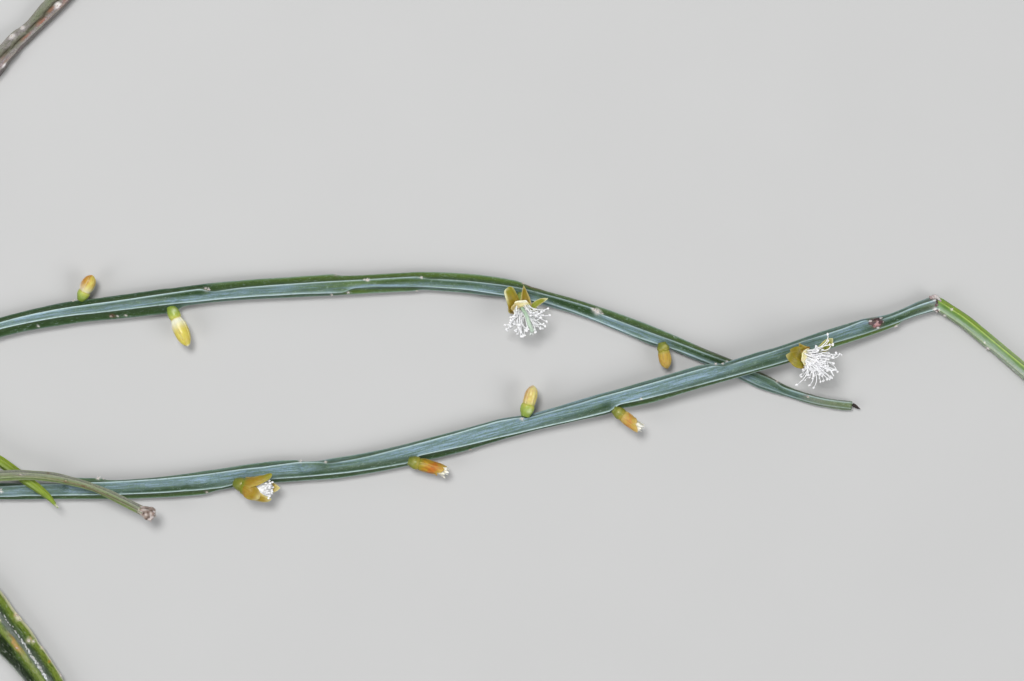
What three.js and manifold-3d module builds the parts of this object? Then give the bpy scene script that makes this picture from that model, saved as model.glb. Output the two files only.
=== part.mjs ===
// Flowering spray of a mistletoe cactus (Rhipsalis), picked and lying on a flat surface.
//
// A short woody parent stem carries five long, ribbed branches: two nearly parallel
// flowering branches (one crosses over the other near their ends and carries a fresh
// green end segment), an old corky branch, a broad winged branch and a thin withered
// branch. A young green shoot grows from the side of the upper branch. Six buds and
// three flowers sit on the areoles of the two flowering branches.
//
// Units are millimetres, +Z is up, and the surface the spray lies on is z = 0.
// Every mesh is one closed solid. Pieces that grow out of each other keep a seam of
// SEAM millimetres.

import * as THREE from 'three';
import { mergeVertices } from 'three/addons/utils/BufferGeometryUtils.js';
import Module from 'manifold-3d';

// ---------------------------------------------------------------- driving dimensions
const GRID = 0.3;            // size of one layout unit, mm
const SIGHT = 900;           // height of the common sight point of the layout, mm
const MID_U = 512;           // layout centre
const MID_V = 340.5;
const ORIGIN_X = -35.504;    // layout position of the origin: centre of the base box, mm
const ORIGIN_Y = -5.476;
const SEAM = 0.32;           // seam between pieces that grow out of each other, mm
const RING_STEP = 6.2;       // spacing of the cross-sections along a stem, mm
const FACE_HOLLOW = 0.07;    // hollow of the faces between two ribs, part of the radius
const SHOULDER_DROP = 0.2;   // drop of a rib just past an areole, part of the radius
const FILAMENT_RADIUS = 0.13;
const ANTHER_RADIUS = 0.4;
const TEPAL_THICKNESS = 0.36;

// ---------------------------------------------------------------- colours and finish
const paint = (color, roughness = 0.55) =>
  new THREE.MeshStandardMaterial({ color, roughness, metalness: 0 });
const MAT = {
  stem: paint(0x6f9a8c, 0.45),
  fresh: paint(0x7fa63c, 0.45),
  winged: paint(0x6f8f4a, 0.5),
  old: paint(0x6c7358, 0.7),
  bark: paint(0x7d715a, 0.85),
  dried: paint(0x9c8578, 0.9),
  ovary: paint(0x9aac3a, 0.4),
  petal: paint(0xd9a32e, 0.4),
  tepal: paint(0xc9a226, 0.45),
  pale: paint(0xf2f0e2, 0.5),
};

// ---------------------------------------------------------------- layout helpers
// (u, v) are layout units, u to the right and v towards -Y, z is the height in mm.
// Points are taken along sight lines, so a high point is drawn in towards the centre.
const at = (u, v, z) => {
  const k = GRID * (1 - z / SIGHT);
  return new THREE.Vector3((u - MID_U) * k - ORIGIN_X, (MID_V - v) * k - ORIGIN_Y, z);
};

// Linear look-up in a table of [u, a, b, ...] rows.
const look = (table, u, col = 1) => {
  if (u <= table[0][0]) return table[0][col];
  for (let i = 1; i < table.length; i++) {
    if (u <= table[i][0]) {
      const a = table[i - 1], b = table[i];
      const t = (u - a[0]) / Math.max(b[0] - a[0], 1e-9);
      return a[col] + (b[col] - a[col]) * t;
    }
  }
  return table[table.length - 1][col];
};

const solid = (geometry) => {
  geometry.deleteAttribute('normal');
  geometry.deleteAttribute('uv');
  let g = mergeVertices(geometry, 1e-4);
  const p = g.attributes.position, idx = g.index.array;
  const a = new THREE.Vector3(), b = new THREE.Vector3(), c = new THREE.Vector3();
  const keep = [];
  let volume = 0;
  for (let i = 0; i < idx.length; i += 3) {
    if (idx[i] === idx[i + 1] || idx[i + 1] === idx[i + 2] || idx[i] === idx[i + 2]) continue;
    keep.push(idx[i], idx[i + 1], idx[i + 2]);
    a.fromBufferAttribute(p, idx[i]);
    b.fromBufferAttribute(p, idx[i + 1]);
    c.fromBufferAttribute(p, idx[i + 2]);
    volume += a.dot(b.clone().cross(c));
  }
  if (volume < 0) {
    for (let i = 0; i < keep.length; i += 3) [keep[i], keep[i + 1]] = [keep[i + 1], keep[i]];
  }
  g.setIndex(keep);
  return g;
};

const wasm = await Module();
wasm.setup();

const toManifold = (geometry) => {
  const g = solid(geometry.clone());
  return new wasm.Manifold(new wasm.Mesh({
    numProp: 3,
    vertProperties: new Float32Array(g.attributes.position.array),
    triVerts: new Uint32Array(g.index.array),
  }));
};

// The largest body of a manifold result, as a geometry.
const fromManifold = (m) => {
  let best = m;
  for (const part of m.decompose()) {
    if (best === m || Math.abs(part.volume()) > Math.abs(best.volume())) best = part;
  }
  const mesh = best.getMesh();
  const g = new THREE.BufferGeometry();
  g.setAttribute('position', new THREE.BufferAttribute(new Float32Array(mesh.vertProperties), 3));
  g.setIndex(new THREE.BufferAttribute(new Uint32Array(mesh.triVerts), 1));
  return g;
};

const cut = (geometry, ...tools) => {
  let m = toManifold(geometry);
  for (const t of tools) m = m.subtract(toManifold(t));
  return fromManifold(m);
};

// ---------------------------------------------------------------- stems
// A stem follows `path` rows [u, v, z]. `edge` rows [u, upper, lower] are the half widths
// on its +side and -side in layout units, so a rib that ends in a shoulder shows as a step.
// `ribs` rows are [u, angle of rib 0, 1, 2 ...] in degrees, counted from the stem's +side
// (0) over its top (90) to its -side (180). `saw` lists for each rib the u of its areoles.
const stemFrames = (stem) => {
  const curve = new THREE.CatmullRomCurve3(
    stem.path.map(([u, v, z]) => at(u, v, z)), false, 'centripetal');
  const uvCurve = new THREE.CatmullRomCurve3(
    stem.path.map(([u, v]) => new THREE.Vector3(u, v, 0)), false, 'centripetal');
  const n = stem.path.length - 1;
  const length = curve.getLength();
  const count = Math.max(4, Math.round(length / (stem.step ?? RING_STEP)));
  // dense table of arc length against the curve parameter
  const dense = [];
  let s = 0, prev = curve.getPoint(0);
  const N = n * 24;
  for (let i = 0; i <= N; i++) {
    const p = curve.getPoint(i / N);
    s += p.distanceTo(prev);
    prev = p;
    dense.push([s, i / N]);
  }
  const frames = [];
  const up = new THREE.Vector3(0, 0, 1);
  for (let i = 0; i <= count; i++) {
    const t = look(dense, (s * i) / count);
    const C = curve.getPoint(t);
    const T = curve.getTangent(t).normalize();
    const S = up.clone().cross(T).normalize();
    const U = T.clone().cross(S).normalize();
    frames.push({ C, T, S, U, u: uvCurve.getPoint(t).x, s: (s * i) / count, f: i / count, length: s });
  }
  return frames;
};

// Height of the rib between two areoles: low just past an areole, full before the next.
const ribRise = (areoles, u) => {
  if (!areoles || !areoles.length) return 1;
  let last = -1e9, next = 1e9;
  for (const a of areoles) {
    if (a <= u) last = Math.max(last, a);
    else next = Math.min(next, a);
  }
  if (last < -1e8) return 1;
  const t = Math.min(1, (u - last) / 90);
  return 1 - SHOULDER_DROP * (1 - t) ** 1.4;
};

const stemSection = (stem, frame, grow) => {
  const { u, f } = frame;
  const hp = look(stem.edge, u, 1) * GRID, hm = look(stem.edge, u, 2) * GRID;
  const depth = stem.depth ?? 1;
  const count = stem.ribs[0].length - 1;
  let taper = 1;
  if (stem.neck) {
    const d = f * frame.length;
    taper = THREE.MathUtils.lerp(stem.neck[0], 1, THREE.MathUtils.smoothstep(d, 0, stem.neck[1]));
  }
  if (stem.tip) {
    const d = (1 - f) * frame.length;
    if (d < stem.tip[1]) {
      const q = 1 - d / stem.tip[1];
      taper *= THREE.MathUtils.lerp(stem.tip[0], 1, Math.sqrt(Math.max(0, 1 - q * q)));
    }
  }
  const crest = [];
  for (let k = 0; k < count; k++) {
    const phi = THREE.MathUtils.degToRad(look(stem.ribs, u, k + 1));
    const side = (1 + Math.cos(phi)) / 2;
    const r = (hm + (hp - hm) * side) * taper * ribRise(stem.saw?.[k], u)
      * THREE.MathUtils.lerp(depth, 1, Math.abs(Math.cos(phi)));
    crest.push([Math.cos(phi) * r, Math.sin(phi) * r]);
  }
  const ring = [];
  for (let k = 0; k < count; k++) {
    const a = crest[k], b = crest[(k + 1) % count];
    const m = [(a[0] + b[0]) / 2, (a[1] + b[1]) / 2];
    const w = 1 - FACE_HOLLOW * (stem.hollow ?? 1);
    ring.push(a, [m[0] * w, m[1] * w]);
  }
  if (grow) {
    for (const p of ring) {
      const r = Math.hypot(p[0], p[1]);
      p[0] *= (r + grow) / r;
      p[1] *= (r + grow) / r;
    }
  }
  return ring;
};

const stemGeometry = (stem, grow = 0) => {
  const frames = stemFrames(stem);
  const rings = frames.map((fr) => stemSection(stem, fr, grow));
  const sides = rings[0].length;
  const g = new THREE.CylinderGeometry(1, 1, 1, sides, frames.length - 1, false);
  const p = g.attributes.position;
  for (let i = 0; i < p.count; i++) {
    const x = p.getX(i), y = p.getY(i), z = p.getZ(i);
    const ringIndex = Math.round((y + 0.5) * (frames.length - 1));
    const fr = frames[ringIndex];
    const out = fr.C.clone();
    if (grow) {
      if (ringIndex === 0) out.addScaledVector(fr.T, -grow);
      if (ringIndex === frames.length - 1) out.addScaledVector(fr.T, grow);
    }
    if (Math.hypot(x, z) > 0.5) {
      const k = Math.round(((Math.atan2(x, z) + 2 * Math.PI) % (2 * Math.PI)) / (2 * Math.PI) * sides) % sides;
      const [a, b] = rings[ringIndex][k];
      out.addScaledVector(fr.S, a).addScaledVector(fr.U, b);
    } else {
      // centre of an end face: pulled out a little for a domed end
      const dome = (ringIndex === 0 ? -1 : 1) * (stem.dome?.[ringIndex === 0 ? 0 : 1] ?? 0);
      out.addScaledVector(fr.T, dome);
      let zs = 0, ss = 0;
      for (const [a, b] of rings[ringIndex]) { ss += a; zs += b; }
      out.addScaledVector(fr.S, ss / sides).addScaledVector(fr.U, zs / sides);
    }
    if (!grow) out.z = Math.max(out.z, 0);
    p.setXYZ(i, out.x, out.y, out.z);
  }
  return solid(g);
};

const FIVE = (rows) => rows; // [u, rib0 .. rib4]

const STEMS = {
  // woody parent stem with a cut left end; its blunt right end carries the branches
  parent_stem: {
    mat: MAT.bark, depth: 0.96, hollow: 0.6, step: 5,
    path: [[-332, 507, 2.85], [-300, 500, 2.85], [-265, 490.5, 2.9], [-240, 484.6, 3.2], [-219, 481, 3.9], [-206, 480.4, 4.2]],
    edge: [[-332, 13.2, 13.2], [-250, 13.2, 13.2], [-232, 14, 14], [-219, 15.2, 15.2], [-206, 15.2, 15.2]],
    ribs: FIVE([[-332, 18, 92, 164, 234, 306], [-206, 16, 88, 160, 234, 306]]),
    tip: [0.55, 3.5], dome: [0, 0.5],
  },
  upper_stem: {
    mat: MAT.stem, depth: 0.92,
    path: [[-212, 471.5, 4.4], [-209.5, 466.5, 4.6], [-198, 455, 4.5], [-180, 438.5, 4.3], [-150, 412.5, 3.9], [-100, 372.5, 3.6], [-50, 344.5, 3.5],
      [0, 326.8, 3.5], [60, 314.3, 3.6], [120, 306, 3.6], [180, 297.8, 3.5], [240, 291.2, 3.4], [292, 287.3, 3.3],
      [340, 284.6, 3.3], [380, 283, 3.3], [420, 282, 3.2], [450, 282.6, 3.2], [480, 284.8, 3.1], [514, 289.4, 3.0],
      [551, 299, 2.8], [592, 312, 2.6], [640, 330, 2.5], [671, 341.5, 2.4], [702, 353.8, 2.2], [735, 367, 2.0],
      [762, 378.5, 1.9], [789, 390.6, 1.7], [816, 399.6, 1.6], [835, 403.6, 1.55], [851.7, 405.8, 1.55]],
    edge: [[-215, 10, 10], [-150, 11, 11], [0, 10.6, 11], [60, 11.1, 11.5], [83, 10.6, 11.8], [110, 10.6, 12.6], [165, 11.2, 14],
      [172, 10.6, 14.2], [182, 10.6, 8.6], [200, 11, 8], [240, 10.7, 8.4], [292, 10, 10.2], [334, 10.7, 10.3], [341, 8.4, 9.8],
      [360, 8.2, 10.2], [414, 9.8, 8.6], [420, 9.8, 8], [480, 9.6, 9.8], [516, 9, 8.8], [529, 6.4, 8.4], [551, 6.4, 7.6],
      [592, 7.4, 6.6], [640, 8.4, 9.4], [656, 8, 10.6], [671, 7.6, 6.9], [702, 7.2, 8.4], [735, 7.2, 9], [762, 5.4, 10.6],
      [776, 4.4, 8.6], [789, 3.6, 6], [802, 3, 5.8], [816, 3.9, 6], [829, 3.9, 5.2], [845, 4.8, 5.4], [851.7, 4.6, 4.2]],
    ribs: FIVE([[-200, 0, 48, 100, 178, 262], [0, 0, 47, 101, 182, 268], [60, 0, 57, 109, 184, 270], [110, 0, 52, 112, 186, 270],
      [170, 0, 58, 118, 190, 272], [200, 0, 62, 128, 184, 270], [292, -2, 70, 138, 182, 268], [350, -4, 74, 146, 186, 268],
      [420, -2, 78, 142, 184, 270], [480, 0, 79, 136, 184, 270], [592, 0, 71, 132, 182, 270], [700, 0, 65, 126, 182, 270],
      [852, 0, 60, 122, 182, 268]]),
    saw: [[], [-60, 206, 421, 596], [-20, 174, 348, 560], [], [20, 280, 540]],
    neck: [0.36, 9], dome: [0.3, 0],
  },
  lower_stem: {
    mat: MAT.stem, depth: 0.9,
    path: [[-209, 480.6, 4.1], [-204, 480.8, 4.1], [-190, 481.6, 4.0], [-170, 483.6, 3.7], [-135, 488, 3.3], [-100, 491, 3.1], [-50, 492.3, 3.0], [0, 491.4, 3.0],
      [54, 490.4, 3.0], [108, 489.3, 3.0], [160, 486.8, 3.0], [206, 481.8, 3.0], [257, 474.2, 3.0], [303, 470.5, 3.0],
      [336, 467, 3.0], [371, 461.6, 3.0], [402, 455.4, 3.05], [432, 448.2, 3.1], [460, 441, 3.2], [506, 428.4, 3.5],
      [555, 415.4, 4.2], [600, 404.4, 5.1], [651, 390.8, 6.3], [702, 376.4, 7.5], [735, 367.8, 7.9], [760, 361.2, 7.9],
      [780, 355.6, 7.7], [826, 341, 6.6], [866, 328, 5.2], [889, 320, 4.4], [912, 310.8, 3.7], [936, 303.2, 3.1]],
    edge: [[-215, 9, 9], [-130, 9.5, 9.5], [0, 8.2, 8.2], [38, 7.2, 8.6], [64, 7.2, 8.8], [72, 12.6, 9], [99, 11.6, 9.6], [108, 9.2, 9.9], [119, 8.8, 10.4],
      [160, 9.8, 11.4], [204, 10.8, 14.2], [214, 10.8, 10.4], [235, 10.6, 9.2], [257, 11, 9.8], [282, 12, 10.2], [299, 10.8, 10.4],
      [304, 8.8, 10.4], [320, 8.2, 12], [336, 9.5, 12], [371, 9.5, 11.4], [402, 10, 12.4], [410, 10, 12.6], [416, 10, 9.6],
      [432, 10.2, 11], [460, 10.4, 11.2], [506, 10, 9.4], [526, 7.4, 9.4], [535, 6.6, 9.6], [600, 10.4, 10.8], [612, 10.4, 10.6], [618, 10.4, 9],
      [629, 10.6, 10.6], [651, 11.2, 12.6], [702, 11.8, 10.8], [715, 9.6, 10.6], [722, 6.4, 10.4], [760, 9.2, 9.4], [780, 8.2, 9.4],
      [804, 10, 9.2], [826, 10.4, 8.4], [866, 9.2, 8], [880, 7.2, 7], [889, 5.6, 7.2], [896, 6.4, 7.6], [899, 6.8, 5.2], [912, 8, 7], [936, 7.8, 7.2]],
    ribs: FIVE([[-200, 4, 60, 122, 184, 268], [54, 6, 58, 126, 184, 268], [160, 4, 54, 120, 184, 268], [320, 6, 46, 118, 186, 268],
      [402, 8, 42, 104, 184, 268], [440, 6, 40, 122, 188, 270], [520, 6, 42, 112, 186, 270], [600, 4, 46, 90, 184, 268],
      [640, 4, 46, 118, 188, 270], [702, 4, 50, 116, 186, 270], [806, 4, 52, 124, 184, 270], [936, 4, 56, 116, 184, 270]]),
    saw: [[], [-40, 325, 526, 640, 868], [20, 234, 411, 613, 806], [], [-100, 250, 470, 700]],
    neck: [0.34, 9], dome: [0.3, 0],
  },
  terminal_stem: {
    mat: MAT.fresh, depth: 0.95, step: 5,
    path: [[938.2, 303.6, 3.1], [950, 311, 2.9], [962, 319, 2.6], [992, 343.6, 2.2], [1024, 371, 2.0], [1060, 402.5, 1.9], [1092, 431, 1.8], [1119, 454.5, 1.75]],
    edge: [[938, 6.6, 6.6], [948, 6.2, 6.6], [989, 6.7, 7.2], [993, 6.7, 6.2], [1024, 6.9, 6.7], [1092, 6.8, 6.6], [1119, 6, 6]],
    ribs: FIVE([[938, 0, 64, 128, 184, 268], [1119, 0, 60, 122, 184, 268]]),
    saw: [[], [948, 1064], [], [], []],
    neck: [0.7, 4], tip: [0.25, 6], dome: [0, 0.6],
  },
  old_branch: {
    mat: MAT.old, depth: 0.95,
    path: [[-217.2, 469.5, 5.4], [-216.5, 464.5, 5.6], [-217, 452, 4.6], [-216, 434, 3.4], [-209, 398, 2.6], [-196, 350, 2.3], [-172, 280, 2.25], [-138, 205, 2.25],
      [-94, 139, 2.25], [-49, 94, 2.2], [-3.3, 57.7, 2.2], [30.8, 25.1, 2.2], [54.5, 2.5, 2.2], [80.7, -24.3, 2.1], [103.7, -47.3, 2.0]],
    edge: [[-217, 7.4, 7.4], [-100, 7.8, 7.8], [-34, 7.6, 10], [-13, 7.2, 14.6], [-5, 7, 13.8], [5, 6.8, 12.6], [14, 7.8, 12.2], [24, 6, 12], [36, 6, 12], [57, 8, 11.4], [103.7, 7.2, 9.2]],
    ribs: FIVE([[-217, -24, 36, 144, 206, 270], [104, -24, 36, 144, 206, 270]]),
    saw: [[], [-130, 56], [-60, 12], [], []], hollow: 1.5,
    neck: [0.42, 9], tip: [0.35, 4], dome: [0.3, 0.5],
  },
  winged_branch: {
    mat: MAT.winged, depth: 0.52, hollow: 1.6,
    path: [[-212.5, 491, 4.2], [-209, 495, 4.2], [-201, 506, 3.9], [-188, 518, 3.3], [-160, 533, 2.9], [-120, 544, 2.9], [-76, 556, 3.0], [-42, 576, 3.1], [-16, 602.4, 3.2], [0, 624.5, 3.2],
      [22, 651, 3.2], [44, 681, 3.2], [70, 724, 3.0], [94, 765, 2.7]],
    edge: [[-209, 9, 9], [-188, 11, 11], [-150, 15, 15], [-60, 18.5, 18.5], [-16, 19.6, 19.4], [16, 19.2, 19.4], [24, 17.6, 17.2], [30, 17.6, 15.6], [44, 17.2, 15.2], [60, 15.8, 15.6], [94, 13.4, 13.8]],
    ribs: FIVE([[-209, 2, 66, 180, 236, 304], [0, 2, 66, 182, 238, 306], [94, 2, 66, 180, 238, 306]]),
    saw: [[], [-90, 78], [], [], []],
    neck: [0.36, 10], tip: [0.3, 9], dome: [0.3, 0.4],
  },
  withered_branch: {
    mat: MAT.old, depth: 1, step: 5,
    path: [[-210.5, 479, 6.6], [-208, 477.8, 7.6], [-201, 474.5, 9.2], [-188, 469.5, 10.6], [-165, 465.5, 11.6], [-120, 466.5, 12.0], [-60, 472.5, 11.6], [-20, 475.6, 11.0], [0, 475.7, 10.6],
      [20, 474.8, 10.5], [50, 477, 10.4], [76, 482.3, 10.2], [95, 488.3, 10.0], [116, 497.5, 9.5], [140, 509.5, 8.8]],
    edge: [[-208, 4.4, 4.4], [-180, 5, 5], [20, 5.3, 5.3], [76, 4.4, 4.3], [95, 3.9, 3.9], [140, 4.6, 4.6]],
    ribs: FIVE([[-208, 0, 60, 120, 180, 270], [140, 0, 60, 120, 180, 270]]),
    neck: [0.66, 6], dome: [0.2, 0],
  },
  young_shoot: {
    mat: MAT.fresh, depth: 1, step: 4,
    path: [[-104, 381, 4.6], [-98, 390, 5.2], [-84, 406, 5.8], [-55, 430.5, 6.3], [-25, 448.6, 6.5], [0, 461.4, 6.5], [12, 469.6, 6.6], [24, 478.4, 6.9],
      [37, 487.6, 7.3], [48, 496.6, 7.3], [57.5, 507.2, 7.0]],
    edge: [[-104, 5, 5], [-60, 5.6, 5.6], [0, 5.3, 5.3], [24, 5, 5], [37, 4.4, 4.4], [48, 3.2, 3.2], [57.5, 1.4, 1.4]],
    ribs: FIVE([[-104, 0, 60, 120, 180, 270], [57.5, 0, 60, 120, 180, 270]]),
    neck: [0.6, 4], dome: [0.2, 0.4],
  },
};

const stemSolid = {}, stemGrown = {};
for (const [name, stem] of Object.entries(STEMS)) {
  stemSolid[name] = stemGeometry(stem);
  stemGrown[name] = stemGeometry(stem, SEAM);
}
// branches are cut clear of the parent stem, the shoot and the end segment of theirs
const HUB = ['upper_stem', 'lower_stem', 'old_branch', 'winged_branch', 'withered_branch'];
for (const name of HUB) stemSolid[name] = cut(stemSolid[name], stemGrown.parent_stem);
stemSolid.young_shoot = cut(stemSolid.young_shoot, stemGrown.upper_stem);
stemSolid.terminal_stem = cut(stemSolid.terminal_stem, stemGrown.lower_stem);

const spray = new THREE.Group();
spray.name = 'mistletoe_cactus_spray';
const add = (name, geometry, material, parent = spray) => {
  geometry.computeVertexNormals();
  const mesh = new THREE.Mesh(geometry, material);
  mesh.name = name;
  parent.add(mesh);
  return mesh;
};
for (const [name, stem] of Object.entries(STEMS)) add(name, stemSolid[name], stem.mat);

// ---------------------------------------------------------------- small dried ends
// A lathe profile rows [distance along the axis, radius] turned into a solid between
// two points.
const turned = (from, to, profile, sides = 8, squash = 1) => {
  const pts = profile.map(([d, r]) => new THREE.Vector2(r, d));
  const g = new THREE.LatheGeometry(pts, sides);
  if (squash !== 1) g.scale(1, 1, squash);
  const axis = to.clone().sub(from).normalize();
  g.applyQuaternion(new THREE.Quaternion().setFromUnitVectors(new THREE.Vector3(0, 1, 0), axis));
  g.translate(from.x, from.y, from.z);
  return solid(g);
};

add('dried_tip', turned(at(853.6, 405.2, 1.5), at(861, 409.4, 1.4),
  [[0, 0], [0, 0.55], [0.9, 0.5], [1.8, 0.32], [2.6, 0]], 6), MAT.dried);
add('withered_crown', turned(at(141.6, 510.3, 8.75), at(157, 518.4, 8.2),
  [[0, 0], [0, 1.25], [1.2, 1.35], [2.6, 1.75], [4.0, 1.8], [4.7, 1.3], [4.8, 0.55], [4.3, 0]], 8), MAT.dried);

// ---------------------------------------------------------------- buds
// Every bud is a green ovary on a stem's areole with the closed petals on top.
const BUDS = [
  // name, stem, base (u, v, z), tip (u, v, z), ovary length, ovary radius, petal radius
  ['bud_1', 'upper_stem', [81.2, 303.2, 3.4], [92.0, 274.8, 5.4], 3.6, 1.86, 2.0],
  ['bud_2', 'upper_stem', [169.6, 304.8, 4.6], [188.4, 346.2, 6.0], 4.4, 1.86, 2.2],
  ['bud_3', 'upper_stem', [661.8, 341.6, 4.2], [667.2, 368.8, 4.2], 2.8, 1.82, 1.95],
  ['bud_4', 'lower_stem', [407.6, 460.4, 4.9], [443.2, 471.9, 5.2], 3.6, 2.0, 1.9],
  ['bud_5', 'lower_stem', [524.8, 417.2, 5.4], [533.8, 385.2, 6.0], 4.0, 2.05, 1.95],
  ['bud_6', 'lower_stem', [613.4, 407.7, 6.9], [636.6, 425.7, 7.2], 3.7, 1.9, 1.8],
];
const OPEN_BUDS = new Set(['bud_4', 'bud_6']);
for (const [name, stem, b, t, lo, ro, rp] of BUDS) {
  const from = at(...b), to = at(...t);
  const total = from.distanceTo(to);
  const axis = to.clone().sub(from).normalize();
  const group = new THREE.Group();
  spray.add(group);
  const ovary = turned(from, to,
    [[0, 0], [0, 0.72 * ro], [0.25 * lo, 0.94 * ro], [0.6 * lo, ro], [0.88 * lo, 0.95 * ro], [lo, 0.86 * ro], [lo, 0]], 8);
  add(`${name}_ovary`, cut(ovary, stemGrown[stem]), MAT.ovary, group);
  const start = from.clone().addScaledVector(axis, lo + SEAM);
  const lp = total - lo - SEAM;
  const tip = OPEN_BUDS.has(name)
    ? [[0.8 * lp, 0.92 * rp], [lp, 0.66 * rp], [lp, 0]]
    : [[0.78 * lp, 0.84 * rp], [0.93 * lp, 0.52 * rp], [lp, 0]];
  const petals = turned(start, to,
    [[0, 0], [0, 0.84 * ro], [0.25 * lp, 0.97 * rp], [0.5 * lp, rp], ...tip], 8);
  add(`${name}_petals`, cut(petals, stemGrown[stem]), MAT.petal, group);
  if (OPEN_BUDS.has(name)) {
    // tips of the stamens that show between the loosening petals
    const g0 = to.clone().addScaledVector(axis, SEAM);
    const side = new THREE.Vector3(0, 0, 1).cross(axis).normalize();
    let crown = null;
    for (const [du, dz, len] of [[-0.75, 0.1, 1.3], [-0.25, 0.55, 2.0], [0.3, -0.2, 2.2], [0.8, 0.3, 1.5], [0.1, 0.1, 1.8]]) {
      const a = g0.clone().addScaledVector(side, du * 0.55);
      a.z += dz * 0.5;
      const e = g0.clone().addScaledVector(side, du * 1.15).addScaledVector(axis, len);
      e.z += dz;
      const m = toManifold(turned(a, e, [[0, 0], [0, 0.42], [a.distanceTo(e) * 0.75, 0.38], [a.distanceTo(e), 0]], 5));
      crown = crown ? crown.add(m) : m;
    }
    add(`${name}_stamen_tips`, fromManifold(crown), MAT.pale, group);
  }
}

// ---------------------------------------------------------------- flowers
// A tepal is a thin shell swept along a curve through `spine` points, `width` mm wide at
// its widest, cupped across, with its tip drawn to a point.
const tepal = (spine, facing, width, cup, base = 0.5) => {
  const curve = new THREE.CatmullRomCurve3(spine, false, 'centripetal');
  const rows = 5, cols = 2;
  const g = new THREE.BoxGeometry(1, 1, 1, cols, rows, 1);
  const p = g.attributes.position;
  for (let i = 0; i < p.count; i++) {
    const across = p.getX(i) * 2, along = p.getY(i) + 0.5, thick = p.getZ(i);
    const C = curve.getPoint(along);
    const T = curve.getTangent(along).normalize();
    const W = T.clone().cross(facing).normalize();
    const N = W.clone().cross(T).normalize();
    const outline = THREE.MathUtils.lerp(base, 1, Math.sin(Math.min(1, along / 0.55) * Math.PI / 2))
      * Math.sqrt(Math.max(0, 1 - Math.max(0, (along - 0.5) / 0.5) ** 2.2)) + 0.04;
    C.addScaledVector(W, across * outline * width / 2);
    C.addScaledVector(N, thick * TEPAL_THICKNESS * (1 - 0.45 * along) + cup * across * across * outline);
    p.setXYZ(i, C.x, C.y, C.z);
  }
  return solid(g);
};

// A filament with its anther, as one manifold.
const stamen = (from, bend, to) => {
  const curve = new THREE.QuadraticBezierCurve3(from, bend, to);
  const g = new THREE.CylinderGeometry(1, 1, 1, 4, 2, false);
  const p = g.attributes.position;
  for (let i = 0; i < p.count; i++) {
    const t = p.getY(i) + 0.5;
    const C = curve.getPoint(t), T = curve.getTangent(t).normalize();
    const A = new THREE.Vector3(0.31, 0.17, 0.93).cross(T).normalize();
    const B = T.clone().cross(A);
    const r = FILAMENT_RADIUS * (1.25 - 0.25 * t);
    C.addScaledVector(A, p.getX(i) * r).addScaledVector(B, p.getZ(i) * r);
    p.setXYZ(i, C.x, C.y, C.z);
  }
  const anther = new THREE.IcosahedronGeometry(ANTHER_RADIUS, 0);
  anther.translate(to.x, to.y, to.z);
  return toManifold(g).add(toManifold(anther));
};

// All the stamens of a flower: a ring on the rim of the cup carries every filament.
const stamens = (centre, axis, tips, ringRadius) => {
  const quat = new THREE.Quaternion().setFromUnitVectors(new THREE.Vector3(0, 1, 0), axis);
  const ring = new THREE.LatheGeometry([
    [ringRadius - 0.34, -0.25], [ringRadius + 0.3, -0.25], [ringRadius + 0.3, 0.2], [ringRadius - 0.34, 0.25], [ringRadius - 0.34, -0.25],
  ].map(([x, y]) => new THREE.Vector2(x, y)), 10);
  ring.applyQuaternion(quat);
  ring.translate(centre.x, centre.y, centre.z);
  let all = toManifold(ring);
  for (const tip of tips) {
    const out = tip.clone().sub(centre);
    const radial = out.clone().addScaledVector(axis, -out.dot(axis)).normalize();
    const foot = centre.clone().addScaledVector(radial, ringRadius).addScaledVector(axis, -0.05);
    const bend = foot.clone().lerp(tip, 0.45).addScaledVector(axis, 0.1 * out.length());
    all = all.add(stamen(foot, bend, tip));
  }
  return fromManifold(all);
};

// The style, a stout rod that widens to the stigma.
const styleSolid = (centre, end, radius) => {
  const l = centre.distanceTo(end);
  return turned(centre, end,
    [[0, 0], [0, 0.7 * radius], [0.7 * l, radius], [0.9 * l, 1.5 * radius], [l, 1.2 * radius], [l, 0]], 6);
};

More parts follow.
